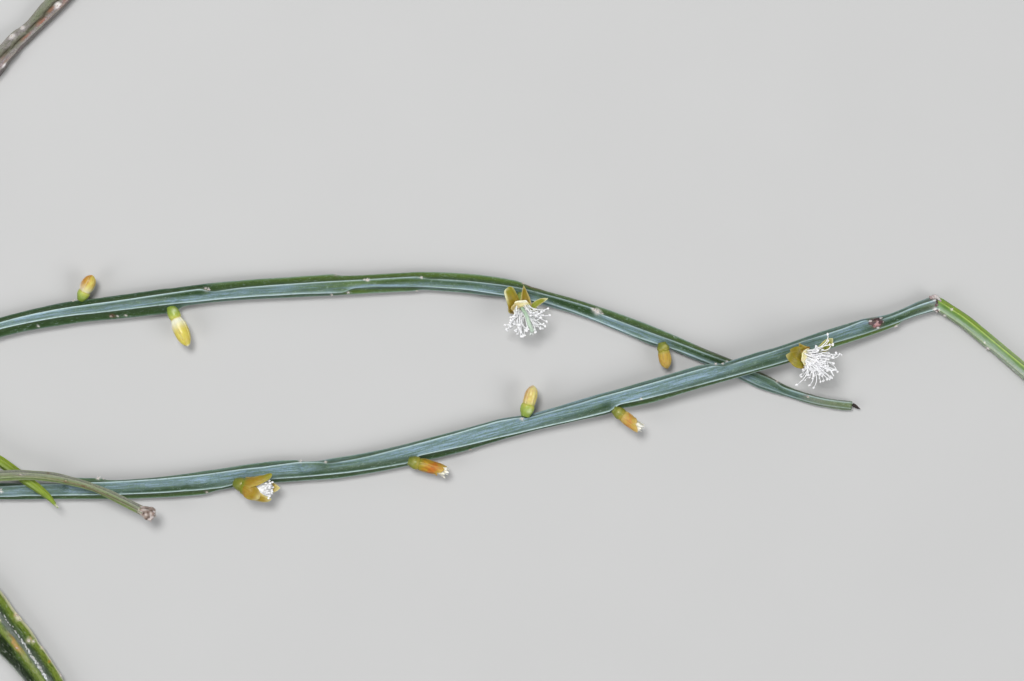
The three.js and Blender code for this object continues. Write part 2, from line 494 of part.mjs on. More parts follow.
const flower = ({ name, stem, foot, rim, axis, ovaryRadius, tepals, tips, ringRadius, style }) => {
  const group = new THREE.Group();
  spray.add(group);
  const A = new THREE.Vector3(...axis).normalize();
  const F = at(...foot), C = at(...rim);
  const lo = F.distanceTo(C) - SEAM;
  add(`${name}_ovary`, cut(turned(F, C,
    [[0, 0], [0, 0.75 * ovaryRadius], [0.35 * lo, ovaryRadius], [0.75 * lo, 0.98 * ovaryRadius], [lo, 0.8 * ovaryRadius], [lo, 0]], 8),
  stemGrown[stem]), MAT.ovary, group);
  const ovaryClear = turned(F, C,
    [[-0.3, 0], [-0.3, 0.75 * ovaryRadius + SEAM], [0.35 * lo, ovaryRadius + SEAM], [0.75 * lo, 0.98 * ovaryRadius + SEAM],
      [lo + SEAM, 0.8 * ovaryRadius + SEAM], [lo + SEAM, 0]], 8);
  // the cup that carries the stamens stays clear of the tepals
  const S = C.clone().addScaledVector(A, 0.75);
  const cup0 = S.clone().addScaledVector(A, -0.5), cup1 = S.clone().addScaledVector(A, 1.3);
  const wide = (ringRadius ?? 1) + 0.3 + SEAM;
  const cupClear = turned(cup0, cup1, [[0, 0], [0, wide], [0.9, wide], [1.8, wide + 0.5], [1.8, 0]], 12);
  tepals.forEach(({ points, facing, width, cup = 0.3, base = 0.45 }, i) => {
    const g = tepal(points.map((q) => at(...q)), new THREE.Vector3(...facing), width, cup, base);
    add(`${name}_tepal_${i + 1}`, cut(g, ovaryClear, cupClear, stemGrown[stem]), MAT.tepal, group);
  });
  if (tips) {
    add(`${name}_stamens`, stamens(S, A, tips.map((q) => at(...q)), ringRadius), MAT.pale, group);
    const end = at(...style.to);
    const start = S.clone().lerp(end, 0.32);
    add(`${name}_style`, styleSolid(start, end, style.radius), MAT.pale, group);
  }
};

flower({
  name: 'flower_1', stem: 'upper_stem', foot: [520.5, 295, 5.4], rim: [523.4, 307.5, 7.2], axis: [0.15, -0.8, 0.58],
  ovaryRadius: 1.75,
  tepals: [
    { points: [[517.4, 312.4, 8.2], [512.6, 306.6, 9.0], [509.6, 298.6, 8.8], [508, 288, 7.6]], facing: [-0.5, 0.1, 1], width: 3.7 },
    { points: [[524, 308.6, 9.9], [524.6, 302.6, 10.6], [524.4, 295.6, 9.4], [523.7, 285.8, 7.6]], facing: [0, 0.2, 1], width: 3.1 },
    { points: [[532, 308.6, 7.4], [537, 304.2, 8.0], [543, 300.8, 7.9], [548, 298.4, 7.4]], facing: [0.4, 0.3, 1], width: 2.3 },
    { points: [[517.6, 314.2, 5.9], [514.8, 313.6, 4.6], [512.6, 309.6, 3.8], [511.4, 303.4, 3.4]], facing: [-0.6, -0.5, -0.7], width: 2.1 },
    { points: [[529.6, 313.6, 5.9], [533, 312, 4.6], [535, 307.6, 4.0], [536.4, 302, 3.6]], facing: [0.6, -0.5, -0.7], width: 2.1 },
    { points: [[523.7, 316.2, 4.9], [523.9, 315.4, 3.4], [523.7, 311, 2.6], [523.2, 304.6, 2.2]], facing: [0, -0.5, -1], width: 2.0 },
  ],
  tips: [[505.5, 325, 9], [507, 328.3, 7.6], [510.4, 326.8, 10.6], [515.8, 330.4, 9.4], [517.8, 333, 8.2], [521.3, 336, 9.4],
    [524.2, 335.3, 11], [526.7, 332.4, 12.2], [535.4, 331.8, 10.4], [540, 328, 9.4], [541.9, 328.4, 7.8],
    [544.6, 325.9, 10.6], [546.1, 321.4, 9.2], [549.2, 315.2, 10.2], [547.5, 308.8, 11.8]],
  ringRadius: 1.3, style: { to: [531.4, 331.6, 9.6], radius: 0.34 },
});

flower({
  name: 'flower_2', stem: 'lower_stem', foot: [802.6, 354.4, 9.3], rim: [807.4, 358.4, 11.5], axis: [0.78, -0.34, 0.52],
  ovaryRadius: 1.75,
  tepals: [
    { points: [[807.2, 361.8, 12.9], [801, 361.2, 13.4], [794, 358.8, 12.7], [787, 355.8, 11.4]], facing: [-0.2, -0.1, 1], width: 3.8 },
    { points: [[808.8, 353.4, 13.4], [803.8, 350.4, 13.6], [798, 348.6, 12.8], [792, 347.8, 11.6]], facing: [-0.1, 0.3, 1], width: 2.0 },
    { points: [[812.4, 350.4, 13.2], [808.6, 346.6, 13.2], [804, 343.8, 12.4], [799.4, 341.8, 11.4]], facing: [0.1, 0.4, 1], width: 1.9 },
    { points: [[818.4, 350.2, 12.2], [823.2, 346.8, 12.2], [828, 342.6, 11.8], [832.5, 338.4, 11.2]], facing: [0.3, 0.5, 1], width: 2.1 },
    { points: [[809.4, 368.2, 10.6], [805.4, 368.8, 9.8], [800.6, 367, 9.2], [795.6, 363.6, 8.8]], facing: [-0.4, -0.6, -0.2], width: 2.0 },
    { points: [[815.2, 367.2, 9.2], [813.6, 367.8, 7.6], [810.2, 366, 6.6], [806.4, 362.8, 6.2]], facing: [0.1, -0.8, -0.5], width: 2.0 },
  ],
  tips: [[797, 384.6, 11.6], [801, 375.1, 10.4], [809.9, 384.9, 12.4], [813.9, 387.2, 11], [813.6, 375.8, 14.4], [823.4, 380.6, 12],
    [827.1, 378.8, 14.6], [831.4, 377.4, 12.6], [837.2, 371.2, 13.6], [833.1, 363, 15.4], [832.6, 357.6, 16.8],
    [840.6, 354.7, 14], [836, 353.3, 15.6], [827.7, 334.6, 16.2], [832.3, 344.4, 15.4], [827, 348, 17]],
  ringRadius: 1.4, style: { to: [832, 370.6, 14.2], radius: 0.34 },
});

// the half-open third flower: five tepals still form a tube around its stamens
const tube = (name, stem, foot, rim, mouth, petals) => {
  const group = new THREE.Group();
  spray.add(group);
  const F = at(...foot), R = at(...rim), M = at(...mouth);
  const A = M.clone().sub(R).normalize();
  const lo = F.distanceTo(R) - SEAM;
  add(`${name}_ovary`, cut(turned(F, R,
    [[0, 0], [0, 1.5], [0.3 * lo, 2.1], [0.7 * lo, 2.15], [lo, 1.7], [lo, 0]], 8), stemGrown[stem]), MAT.ovary, group);
  const side = new THREE.Vector3(0, 0, 1).cross(A).normalize();
  const top = A.clone().cross(side).normalize();
  const L = R.distanceTo(M);
  petals.forEach(([angle, reach, spread, width], i) => {
    const phi = THREE.MathUtils.degToRad(angle);
    const out = side.clone().multiplyScalar(Math.cos(phi)).addScaledVector(top, Math.sin(phi));
    const spine = [[0, 1.55], [0.3, 2.2], [0.6, 2.45], [0.82, 0.45 * 2.5 + 0.55 * spread], [1, spread]].map(([d, r]) =>
      R.clone().addScaledVector(A, 0.1 + d * reach * L).addScaledVector(out, r));
    const g = tepal(spine, out, width, -0.4, 0.52);
    add(`${name}_tepal_${i + 1}`, cut(g, stemGrown[stem]), MAT.tepal, group);
  });
  const S = R.clone().addScaledVector(A, 0.7);
  const tips = [];
  for (let i = 0; i < 8; i++) {
    const phi = (i / 8) * Math.PI * 2 + 0.7;
    const reach = 0.72 * L + (i % 3) * 0.5;
    tips.push(S.clone().addScaledVector(A, reach)
      .addScaledVector(side, Math.cos(phi) * 1.15).addScaledVector(top, Math.sin(phi) * 1.15));
  }
  add(`${name}_stamens`, stamens(S, A, tips, 0.8), MAT.pale, group);
};
// angle round the tube, reach and spread of the tip, width
tube('flower_3', 'lower_stem', [234, 482, 5.4], [245.5, 484.6, 6.2], [268.5, 488.6, 6.9], [
  [6, 1.16, 4.1, 2.3], [80, 0.84, 3.1, 2.3], [166, 1.16, 3.2, 2.3], [236, 1.3, 2.7, 2.1], [304, 1.46, 2.6, 2.1]]);

export default spray;
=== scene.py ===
"""Looks of the mistletoe cactus spray: ribbed waxy stems, buds and flowers in mesh code.

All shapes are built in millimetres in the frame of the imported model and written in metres.
Layout rows are (u, v, z): u to the right and v towards -Y in layout units of GRID mm, z the
height in mm, taken along sight lines to a point SIGHT mm above the layout centre.
"""
import math

import bpy
import numpy as np
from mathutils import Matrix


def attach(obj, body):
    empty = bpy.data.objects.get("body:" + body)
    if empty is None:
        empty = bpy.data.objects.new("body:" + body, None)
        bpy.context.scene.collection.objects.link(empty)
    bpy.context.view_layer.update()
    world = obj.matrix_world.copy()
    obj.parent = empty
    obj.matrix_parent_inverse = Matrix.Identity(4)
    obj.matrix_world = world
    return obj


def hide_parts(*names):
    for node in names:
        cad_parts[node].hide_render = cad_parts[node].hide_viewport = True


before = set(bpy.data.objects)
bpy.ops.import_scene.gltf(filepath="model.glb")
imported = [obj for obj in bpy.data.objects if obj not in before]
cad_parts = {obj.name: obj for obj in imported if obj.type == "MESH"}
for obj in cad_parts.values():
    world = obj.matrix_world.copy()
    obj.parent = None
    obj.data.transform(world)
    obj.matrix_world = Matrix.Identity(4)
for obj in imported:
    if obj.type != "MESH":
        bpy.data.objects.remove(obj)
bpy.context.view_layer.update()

GRID, SIGHT = 0.3, 900.0
MID_U, MID_V = 512.0, 340.5
ORIGIN_X, ORIGIN_Y = -35.504, -5.476
UP = np.array([0.0, 0.0, 1.0])


# ------------------------------------------------------------------ small maths
def at(u, v, z):
    k = GRID * (1 - z / SIGHT)
    return np.array([(u - MID_U) * k - ORIGIN_X, (MID_V - v) * k - ORIGIN_Y, z], float)


def unit(v):
    v = np.asarray(v, float)
    return v / np.maximum(np.linalg.norm(v, axis=-1, keepdims=True), 1e-12)


def step(x, a, b):
    t = np.clip((np.asarray(x, float) - a) / (b - a), 0, 1)
    return t * t * (3 - 2 * t)


def look(rows, u, k=1):
    rows = np.asarray(rows, float)
    return np.interp(u, rows[:, 0], rows[:, k])


def soften(y, sigma):
    """Gaussian smoothing of a sampled curve, sigma in samples."""
    if sigma <= 0:
        return y
    r = int(3 * sigma) + 1
    x = np.arange(-r, r + 1)
    w = np.exp(-0.5 * (x / sigma) ** 2)
    w /= w.sum()
    return np.convolve(np.pad(y, r, mode="edge"), w, mode="valid")


def _cell(ix, iy, iz, seed):
    h = (ix * 374761393 + iy * 668265263 + iz * 1440662683 + seed * 1274126177) & 0xFFFFFFFF
    h = ((h ^ (h >> 13)) * 1274126177) & 0xFFFFFFFF
    h = ((h ^ (h >> 16)) * 2246822519) & 0xFFFFFFFF
    return ((h >> 8) & 0xFFFF) / 65535.0


def grain(p, seed=0):
    """Smooth value noise of points (n, 3), from -1 to 1."""
    p = np.asarray(p, float)
    i = np.floor(p).astype(np.int64)
    f = p - i
    w = f * f * (3 - 2 * f)
    out = 0
    for dx in (0, 1):
        for dy in (0, 1):
            for dz in (0, 1):
                c = _cell(i[:, 0] + dx, i[:, 1] + dy, i[:, 2] + dz, seed)
                out = out + c * (w[:, 0] if dx else 1 - w[:, 0]) * (w[:, 1] if dy else 1 - w[:, 1]) * (w[:, 2] if dz else 1 - w[:, 2])
    return 2 * out - 1


def curve(points, per=60):
    """Dense points on a centripetal Catmull-Rom curve."""
    P = np.asarray(points, float)
    E = np.vstack([2 * P[0] - P[1], P, 2 * P[-1] - P[-2]])
    out = []
    for i in range(len(P) - 1):
        p0, p1, p2, p3 = E[i:i + 4]
        d0, d1, d2 = [max(np.linalg.norm(b - a) ** 0.5, 1e-4) for a, b in ((p0, p1), (p1, p2), (p2, p3))]
        t1 = ((p1 - p0) / d0 - (p2 - p0) / (d0 + d1) + (p2 - p1) / d1) * d1
        t2 = ((p2 - p1) / d1 - (p3 - p1) / (d1 + d2) + (p3 - p2) / d2) * d1
        t = np.linspace(0, 1, per, endpoint=False)[:, None]
        out.append(p1 + t1 * t + (-3 * p1 + 3 * p2 - 2 * t1 - t2) * t ** 2 + (2 * p1 - 2 * p2 + t1 + t2) * t ** 3)
    return np.vstack(out + [P[-1:]])


def even(points, n, per=60):
    """n evenly spaced points on the curve, with their arc length and tangents."""
    D = curve(points, per)
    S = np.r_[0, np.cumsum(np.linalg.norm(np.diff(D, axis=0), axis=1))]
    s = np.linspace(0, S[-1], n)
    C = np.stack([np.interp(s, S, D[:, k]) for k in range(3)], 1)
    return C, s, unit(np.gradient(C, axis=0))


# ------------------------------------------------------------------ mesh pieces
class Part:
    """Vertices in mm, faces, and named values on the vertices."""

    def __init__(self):
        self.v, self.f, self.a = [], [], {}
        self.n = 0

    def add(self, v, f, **a):
        v = np.asarray(v, float).reshape(-1, 3)
        for k in set(self.a) | set(a):
            rows = self.a.setdefault(k, [])
            size = 3 if k == "flow" else 1
            have = sum(len(r) for r in rows)
            if have < self.n:
                rows.append(np.zeros((self.n - have, size)))
            x = a.get(k)
            x = np.zeros((len(v), size)) if x is None else np.broadcast_to(np.asarray(x, float).reshape(-1, size), (len(v), size))
            rows.append(x)
        self.v.append(v)
        self.f.extend([tuple(int(i) + self.n for i in q) for q in f])
        self.n += len(v)
        return self

    def merge(self, other):
        return self.add(np.vstack(other.v), other.f, **{k: np.vstack(r) for k, r in other.a.items()})


def tube_faces(n, m, start=0, closed_ends=True):
    """Quads of n rings of m points; end rings are fanned to two extra points n*m and n*m+1."""
    f = []
    for i in range(n - 1):
        a, b = start + i * m, start + (i + 1) * m
        for j in range(m):
            k = (j + 1) % m
            f.append((a + j, a + k, b + k, b + j))
    if closed_ends:
        p, q = start + n * m, start + n * m + 1
        for j in range(m):
            k = (j + 1) % m
            f.append((p, start + k, start + j))
            f.append((q, start + (n - 1) * m + j, start + (n - 1) * m + k))
    return f


PIECES = []


def build(name, part, material, slot, *nodes):
    me = bpy.data.meshes.new(name)
    me.from_pydata((np.vstack(part.v) * 0.001).tolist(), [], part.f)
    me.update()
    for k, rows in part.a.items():
        x = np.vstack(rows).astype(np.float32)
        if k == "flow":
            me.attributes.new(k, "FLOAT_VECTOR", "POINT").data.foreach_set("vector", x.ravel())
        else:
            me.attributes.new(k, "FLOAT", "POINT").data.foreach_set("value", x.ravel())
    me.polygons.foreach_set("use_smooth", [True] * len(me.polygons))
    me.materials.append(material)
    o = bpy.data.objects.new(name, me)
    bpy.context.scene.collection.objects.link(o)
    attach(o, "root")
    if nodes:
        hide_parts(*nodes)
    PIECES.append(o)
    return o


# ------------------------------------------------------------------ materials
class Nodes:
    def __init__(self, name):
        self.mat = bpy.data.materials.new(name)
        self.mat.use_nodes = True
        self.t = self.mat.node_tree
        self.t.nodes.clear()
        self.out = self.t.nodes.new("ShaderNodeOutputMaterial")
        self.bsdf = self.t.nodes.new("ShaderNodeBsdfPrincipled")
        self.t.links.new(self.bsdf.outputs[0], self.out.inputs[0])

    def put(self, socket, value):
        if isinstance(value, bpy.types.NodeSocket):
            self.t.links.new(value, socket)
        elif isinstance(value, (tuple, list)):
            if len(value) == 3 and len(socket.default_value) == 4:
                value = tuple(value) + (1.0,)
            socket.default_value = value
        else:
            socket.default_value = value

    def attr(self, name, vector=False):
        n = self.t.nodes.new("ShaderNodeAttribute")
        n.attribute_name = name
        return n.outputs["Vector" if vector else "Fac"]

    def math(self, op, a, b=0.0, c=0.0, clamp=False):
        n = self.t.nodes.new("ShaderNodeMath")
        n.operation = op
        n.use_clamp = clamp
        self.put(n.inputs[0], a)
        self.put(n.inputs[1], b)
        self.put(n.inputs[2], c)
        return n.outputs[0]

    def mul(self, a, b, clamp=False):
        return self.math("MULTIPLY", a, b, clamp=clamp)

    def mix(self, fac, a, b):
        n = self.t.nodes.new("ShaderNodeMix")
        n.data_type = "RGBA"
        n.clamp_factor = True
        self.put(n.inputs[0], fac)
        self.put(n.inputs[6], a)
        self.put(n.inputs[7], b)
        return n.outputs[2]

    def scale(self, vec, x, y, z):
        n = self.t.nodes.new("ShaderNodeVectorMath")
        n.operation = "MULTIPLY"
        self.put(n.inputs[0], vec)
        n.inputs[1].default_value = (x, y, z)
        return n.outputs[0]

    def noise(self, vec, scale=1.0, detail=2.0, rough=0.5, warp=0.0):
        n = self.t.nodes.new("ShaderNodeTexNoise")
        self.put(n.inputs["Vector"], vec)
        n.inputs["Scale"].default_value = scale
        n.inputs["Detail"].default_value = detail
        n.inputs["Roughness"].default_value = rough
        n.inputs["Distortion"].default_value = warp
        return n.outputs["Fac"]

    def cells(self, vec, scale=1.0, feature="F1"):
        n = self.t.nodes.new("ShaderNodeTexVoronoi")
        n.feature = feature
        self.put(n.inputs["Vector"], vec)
        n.inputs["Scale"].default_value = scale
        return n.outputs["Distance"]

    def span(self, x, a, b, lo=0.0, hi=1.0):
        """x from a to b becomes lo to hi, smoothly."""
        n = self.t.nodes.new("ShaderNodeMapRange")
        n.interpolation_type = "SMOOTHSTEP"
        self.put(n.inputs[0], x)
        n.inputs[1].default_value = a
        n.inputs[2].default_value = b
        n.inputs[3].default_value = lo
        n.inputs[4].default_value = hi
        return n.outputs[0]

    def bump(self, height, strength, distance):
        n = self.t.nodes.new("ShaderNodeBump")
        n.inputs["Strength"].default_value = strength
        n.inputs["Distance"].default_value = distance
        self.put(n.inputs["Height"], height)
        return n.outputs[0]

    def object_mm(self):
        """Object coordinates in millimetres."""
        n = self.t.nodes.new("ShaderNodeTexCoord")
        return self.scale(n.outputs["Object"], 1000, 1000, 1000)

    def finish(self, color, roughness, normal=None, specular=0.35, subsurface=0.0, radius=(1, 0.8, 0.4), depth=0.0006, sheen=0.0, coat=0.0):
        b = self.bsdf.inputs
        self.put(b["Base Color"], color)
        self.put(b["Roughness"], roughness)
        b["Specular IOR Level"].default_value = specular
        if normal is not None:
            self.put(b["Normal"], normal)
        if subsurface:
            b["Subsurface Weight"].default_value = subsurface
            b["Subsurface Radius"].default_value = radius
            b["Subsurface Scale"].default_value = depth
        if sheen:
            b["Sheen Weight"].default_value = sheen
            b["Sheen Roughness"].default_value = 0.5
        if coat:
            b["Coat Weight"].default_value = coat
            b["Coat Roughness"].default_value = 0.25
        return self.mat


def stem_material(name, skin_a, skin_b, bloom, bloom_b, dark, rim, young, brown=(0.13, 0.055, 0.045), scurf=(0.30, 0.27, 0.25),
                  pale=(0.72, 0.68, 0.66), rough=0.42, specular=0.3, streak=0.55, speckle=0.25, cork=0.0, blotch=0.12):
    n = Nodes(name)
    flow = n.attr("flow", True)
    mm = n.object_mm()
    # long streaks run with the stem, mottling and fine grain lie over them
    long = n.noise(n.scale(flow, 0.10, 2.3, 2.3), 1.0, 3.0, 0.6)
    fine = n.noise(n.scale(flow, 0.55, 6.5, 6.5), 1.0, 2.0, 0.6)
    mid = n.noise(n.scale(flow, 0.75, 1.7, 1.7), 1.0, 3.0, 0.7)
    mottle = n.noise(mm, 0.42, 3.0, 0.6)
    dots = n.noise(mm, 3.1, 1.5, 0.5)
    skin = n.mix(n.span(mottle, 0.3, 0.7), skin_a, skin_b)
    skin = n.mix(n.mul(n.span(fine, 0.45, 0.75), 0.35), skin, n.mix(0.5, skin_b, young))
    # wax bloom, broken into streaks: the bloom mask is partly the real waxy bloom and partly a painted highlight, laid
    # strongest on the faces turned up to the light
    cloud = n.math("ADD", n.mul(long, 0.55), n.mul(mid, 0.45))
    wax = n.mix(n.span(cloud, 0.34, 0.68), bloom_b, bloom)
    amount = n.math("ADD", 1.0 - streak, n.mul(n.span(cloud, 0.36, 0.64), streak))
    amount = n.mul(amount, n.span(dots, 0.2, 0.62, 0.72, 1.0))
    amount = n.mul(amount, n.attr("bloom"), clamp=True)
    color = n.mix(amount, skin, wax)
    color = n.mix(n.mul(n.attr("young"), n.span(fine, 0.2, 0.6, 0.65, 1.0)), color, young)
    # painted shade: this mask lays deep green into the valleys beside the ribs, the grooves and the shaded flanks, and
    # also colours a few real marks
    color = n.mix(n.mul(n.attr("dark"), n.span(fine, 0.25, 0.75, 1.0, 0.72)), color, dark)
    color = n.mix(n.mul(n.span(mid, 0.5, 0.7), blotch), color, dark)
    color = n.mix(n.mul(n.span(mid, 0.3, 0.44, 1.0, 0.0), 0.5 * blotch), color, rim)
    # tiny pale stomata and a few scurfy flecks
    pores = n.cells(n.scale(flow, 1.5, 2.6, 2.6), 1.0)
    fleck = n.mul(n.span(pores, 0.10, 0.2, 1.0, 0.0), n.span(mottle, 0.42, 0.6))
    color = n.mix(n.mul(fleck, speckle), color, rim)
    ridge = n.noise(n.scale(flow, 0.5, 3.0, 3.0), 1.0, 3.0, 0.7)
    color = n.mix(n.mul(n.attr("scurf"), n.span(ridge, 0.34, 0.6, 0.35, 1.0)), color, n.mix(n.span(dots, 0.35, 0.65), scurf, tuple(0.55 * c for c in scurf)))
    # pale rib lines: partly the ribs' own pale edges, partly a painted highlight along the crests
    color = n.mix(n.mul(n.attr("rim"), n.span(n.noise(n.scale(flow, 0.9, 0.4, 0.4), 1.0, 3.0, 0.65), 0.22, 0.5, 0.45, 1.0), clamp=True), color, rim)
    color = n.mix(n.mul(n.attr("brown"), n.span(dots, 0.3, 0.55, 0.5, 1.0), clamp=True), color, brown)
    color = n.mix(n.attr("pale"), color, pale)
    height = n.math("ADD", n.mul(fine, 0.5), n.mul(dots, 0.35))
    height = n.math("ADD", height, n.mul(n.mul(n.attr("scurf"), ridge), 2.5))
    if cork:
        height = n.math("ADD", height, n.mul(n.noise(n.scale(flow, 0.35, 1.8, 1.8), 1.0, 4.0, 0.65), cork))
    roughness = n.span(n.math("ADD", n.attr("bloom"), n.attr("scurf")), 0.0, 1.0, rough, rough + 0.14)
    return n.finish(color, roughness, n.bump(height, 0.35, 0.00012), specular=specular, subsurface=0.06, radius=(0.5, 1.0, 0.3), depth=0.0008)


MAT = {
    "glaucous": stem_material("glaucous_stem_skin", (0.030, 0.058, 0.015), (0.050, 0.090, 0.023), (0.282, 0.398, 0.545), (0.145, 0.232, 0.232),
                              (0.016, 0.042, 0.012), (0.47, 0.60, 0.61), (0.088, 0.145, 0.022), specular=0.14, blotch=0.4),
    "fresh": stem_material("fresh_stem_skin", (0.098, 0.190, 0.026), (0.140, 0.250, 0.045), (0.330, 0.420, 0.375), (0.215, 0.300, 0.205),
                           (0.050, 0.120, 0.014), (0.38, 0.50, 0.14), (0.190, 0.275, 0.028), brown=(0.17, 0.09, 0.05), scurf=(0.36, 0.375, 0.36), streak=0.4, speckle=0.2, rough=0.36, specular=0.14, blotch=0.24),
    "shoot": stem_material("shoot_skin", (0.120, 0.190, 0.020), (0.165, 0.235, 0.028), (0.21, 0.26, 0.06), (0.17, 0.22, 0.04),
                           (0.045, 0.090, 0.008), (0.25, 0.32, 0.07), (0.205, 0.275, 0.024), streak=0.4, speckle=0.1, rough=0.36, specular=0.12, blotch=0.3),
    "winged": stem_material("winged_stem_skin", (0.048, 0.088, 0.018), (0.075, 0.125, 0.026), (0.130, 0.165, 0.150), (0.060, 0.088, 0.068),
                            (0.006, 0.010, 0.005), (0.42, 0.45, 0.40), (0.150, 0.200, 0.030), brown=(0.42, 0.17, 0.03), scurf=(0.150, 0.162, 0.155),
                            pale=(0.56, 0.52, 0.36), streak=0.5, speckle=0.05, rough=0.55, specular=0.03, blotch=0.65),
    "old": stem_material("old_stem_skin", (0.118, 0.114, 0.080), (0.172, 0.166, 0.128), (0.175, 0.190, 0.150), (0.125, 0.135, 0.095),
                         (0.016, 0.012, 0.004), (0.26, 0.255, 0.195), (0.140, 0.190, 0.085), brown=(0.300, 0.095, 0.050), scurf=(0.285, 0.252, 0.262),
                         streak=0.6, speckle=0.3, rough=0.65, cork=0.8, specular=0.04, blotch=0.5),
    "withered": stem_material("withered_stem_skin", (0.130, 0.165, 0.080), (0.185, 0.215, 0.120), (0.235, 0.260, 0.205), (0.165, 0.190, 0.130),
                              (0.032, 0.040, 0.014), (0.29, 0.31, 0.21), (0.170, 0.240, 0.065), brown=(0.128, 0.082, 0.044), scurf=(0.270, 0.268, 0.235),
                              streak=0.6, speckle=0.3, rough=0.6, cork=0.7, specular=0.06, blotch=0.6),
    "bark": stem_material("woody_stem_bark", (0.110, 0.088, 0.058), (0.175, 0.150, 0.105), (0.24, 0.22, 0.17), (0.17, 0.15, 0.11),
                          (0.042, 0.032, 0.022), (0.27, 0.24, 0.17), (0.12, 0.14, 0.05), scurf=(0.25, 0.22, 0.18), pale=(0.48, 0.47, 0.30),
                          streak=0.6, speckle=0.35, rough=0.75, specular=0.2, cork=2.2),
}


# ------------------------------------------------------------------ stems
# Points across one face between two ribs, close together beside the rib lines.
ACROSS = np.array([0, 0.018, 0.05, 0.11, 0.2, 0.34, 0.5, 0.66, 0.8, 0.89, 0.95, 0.982])


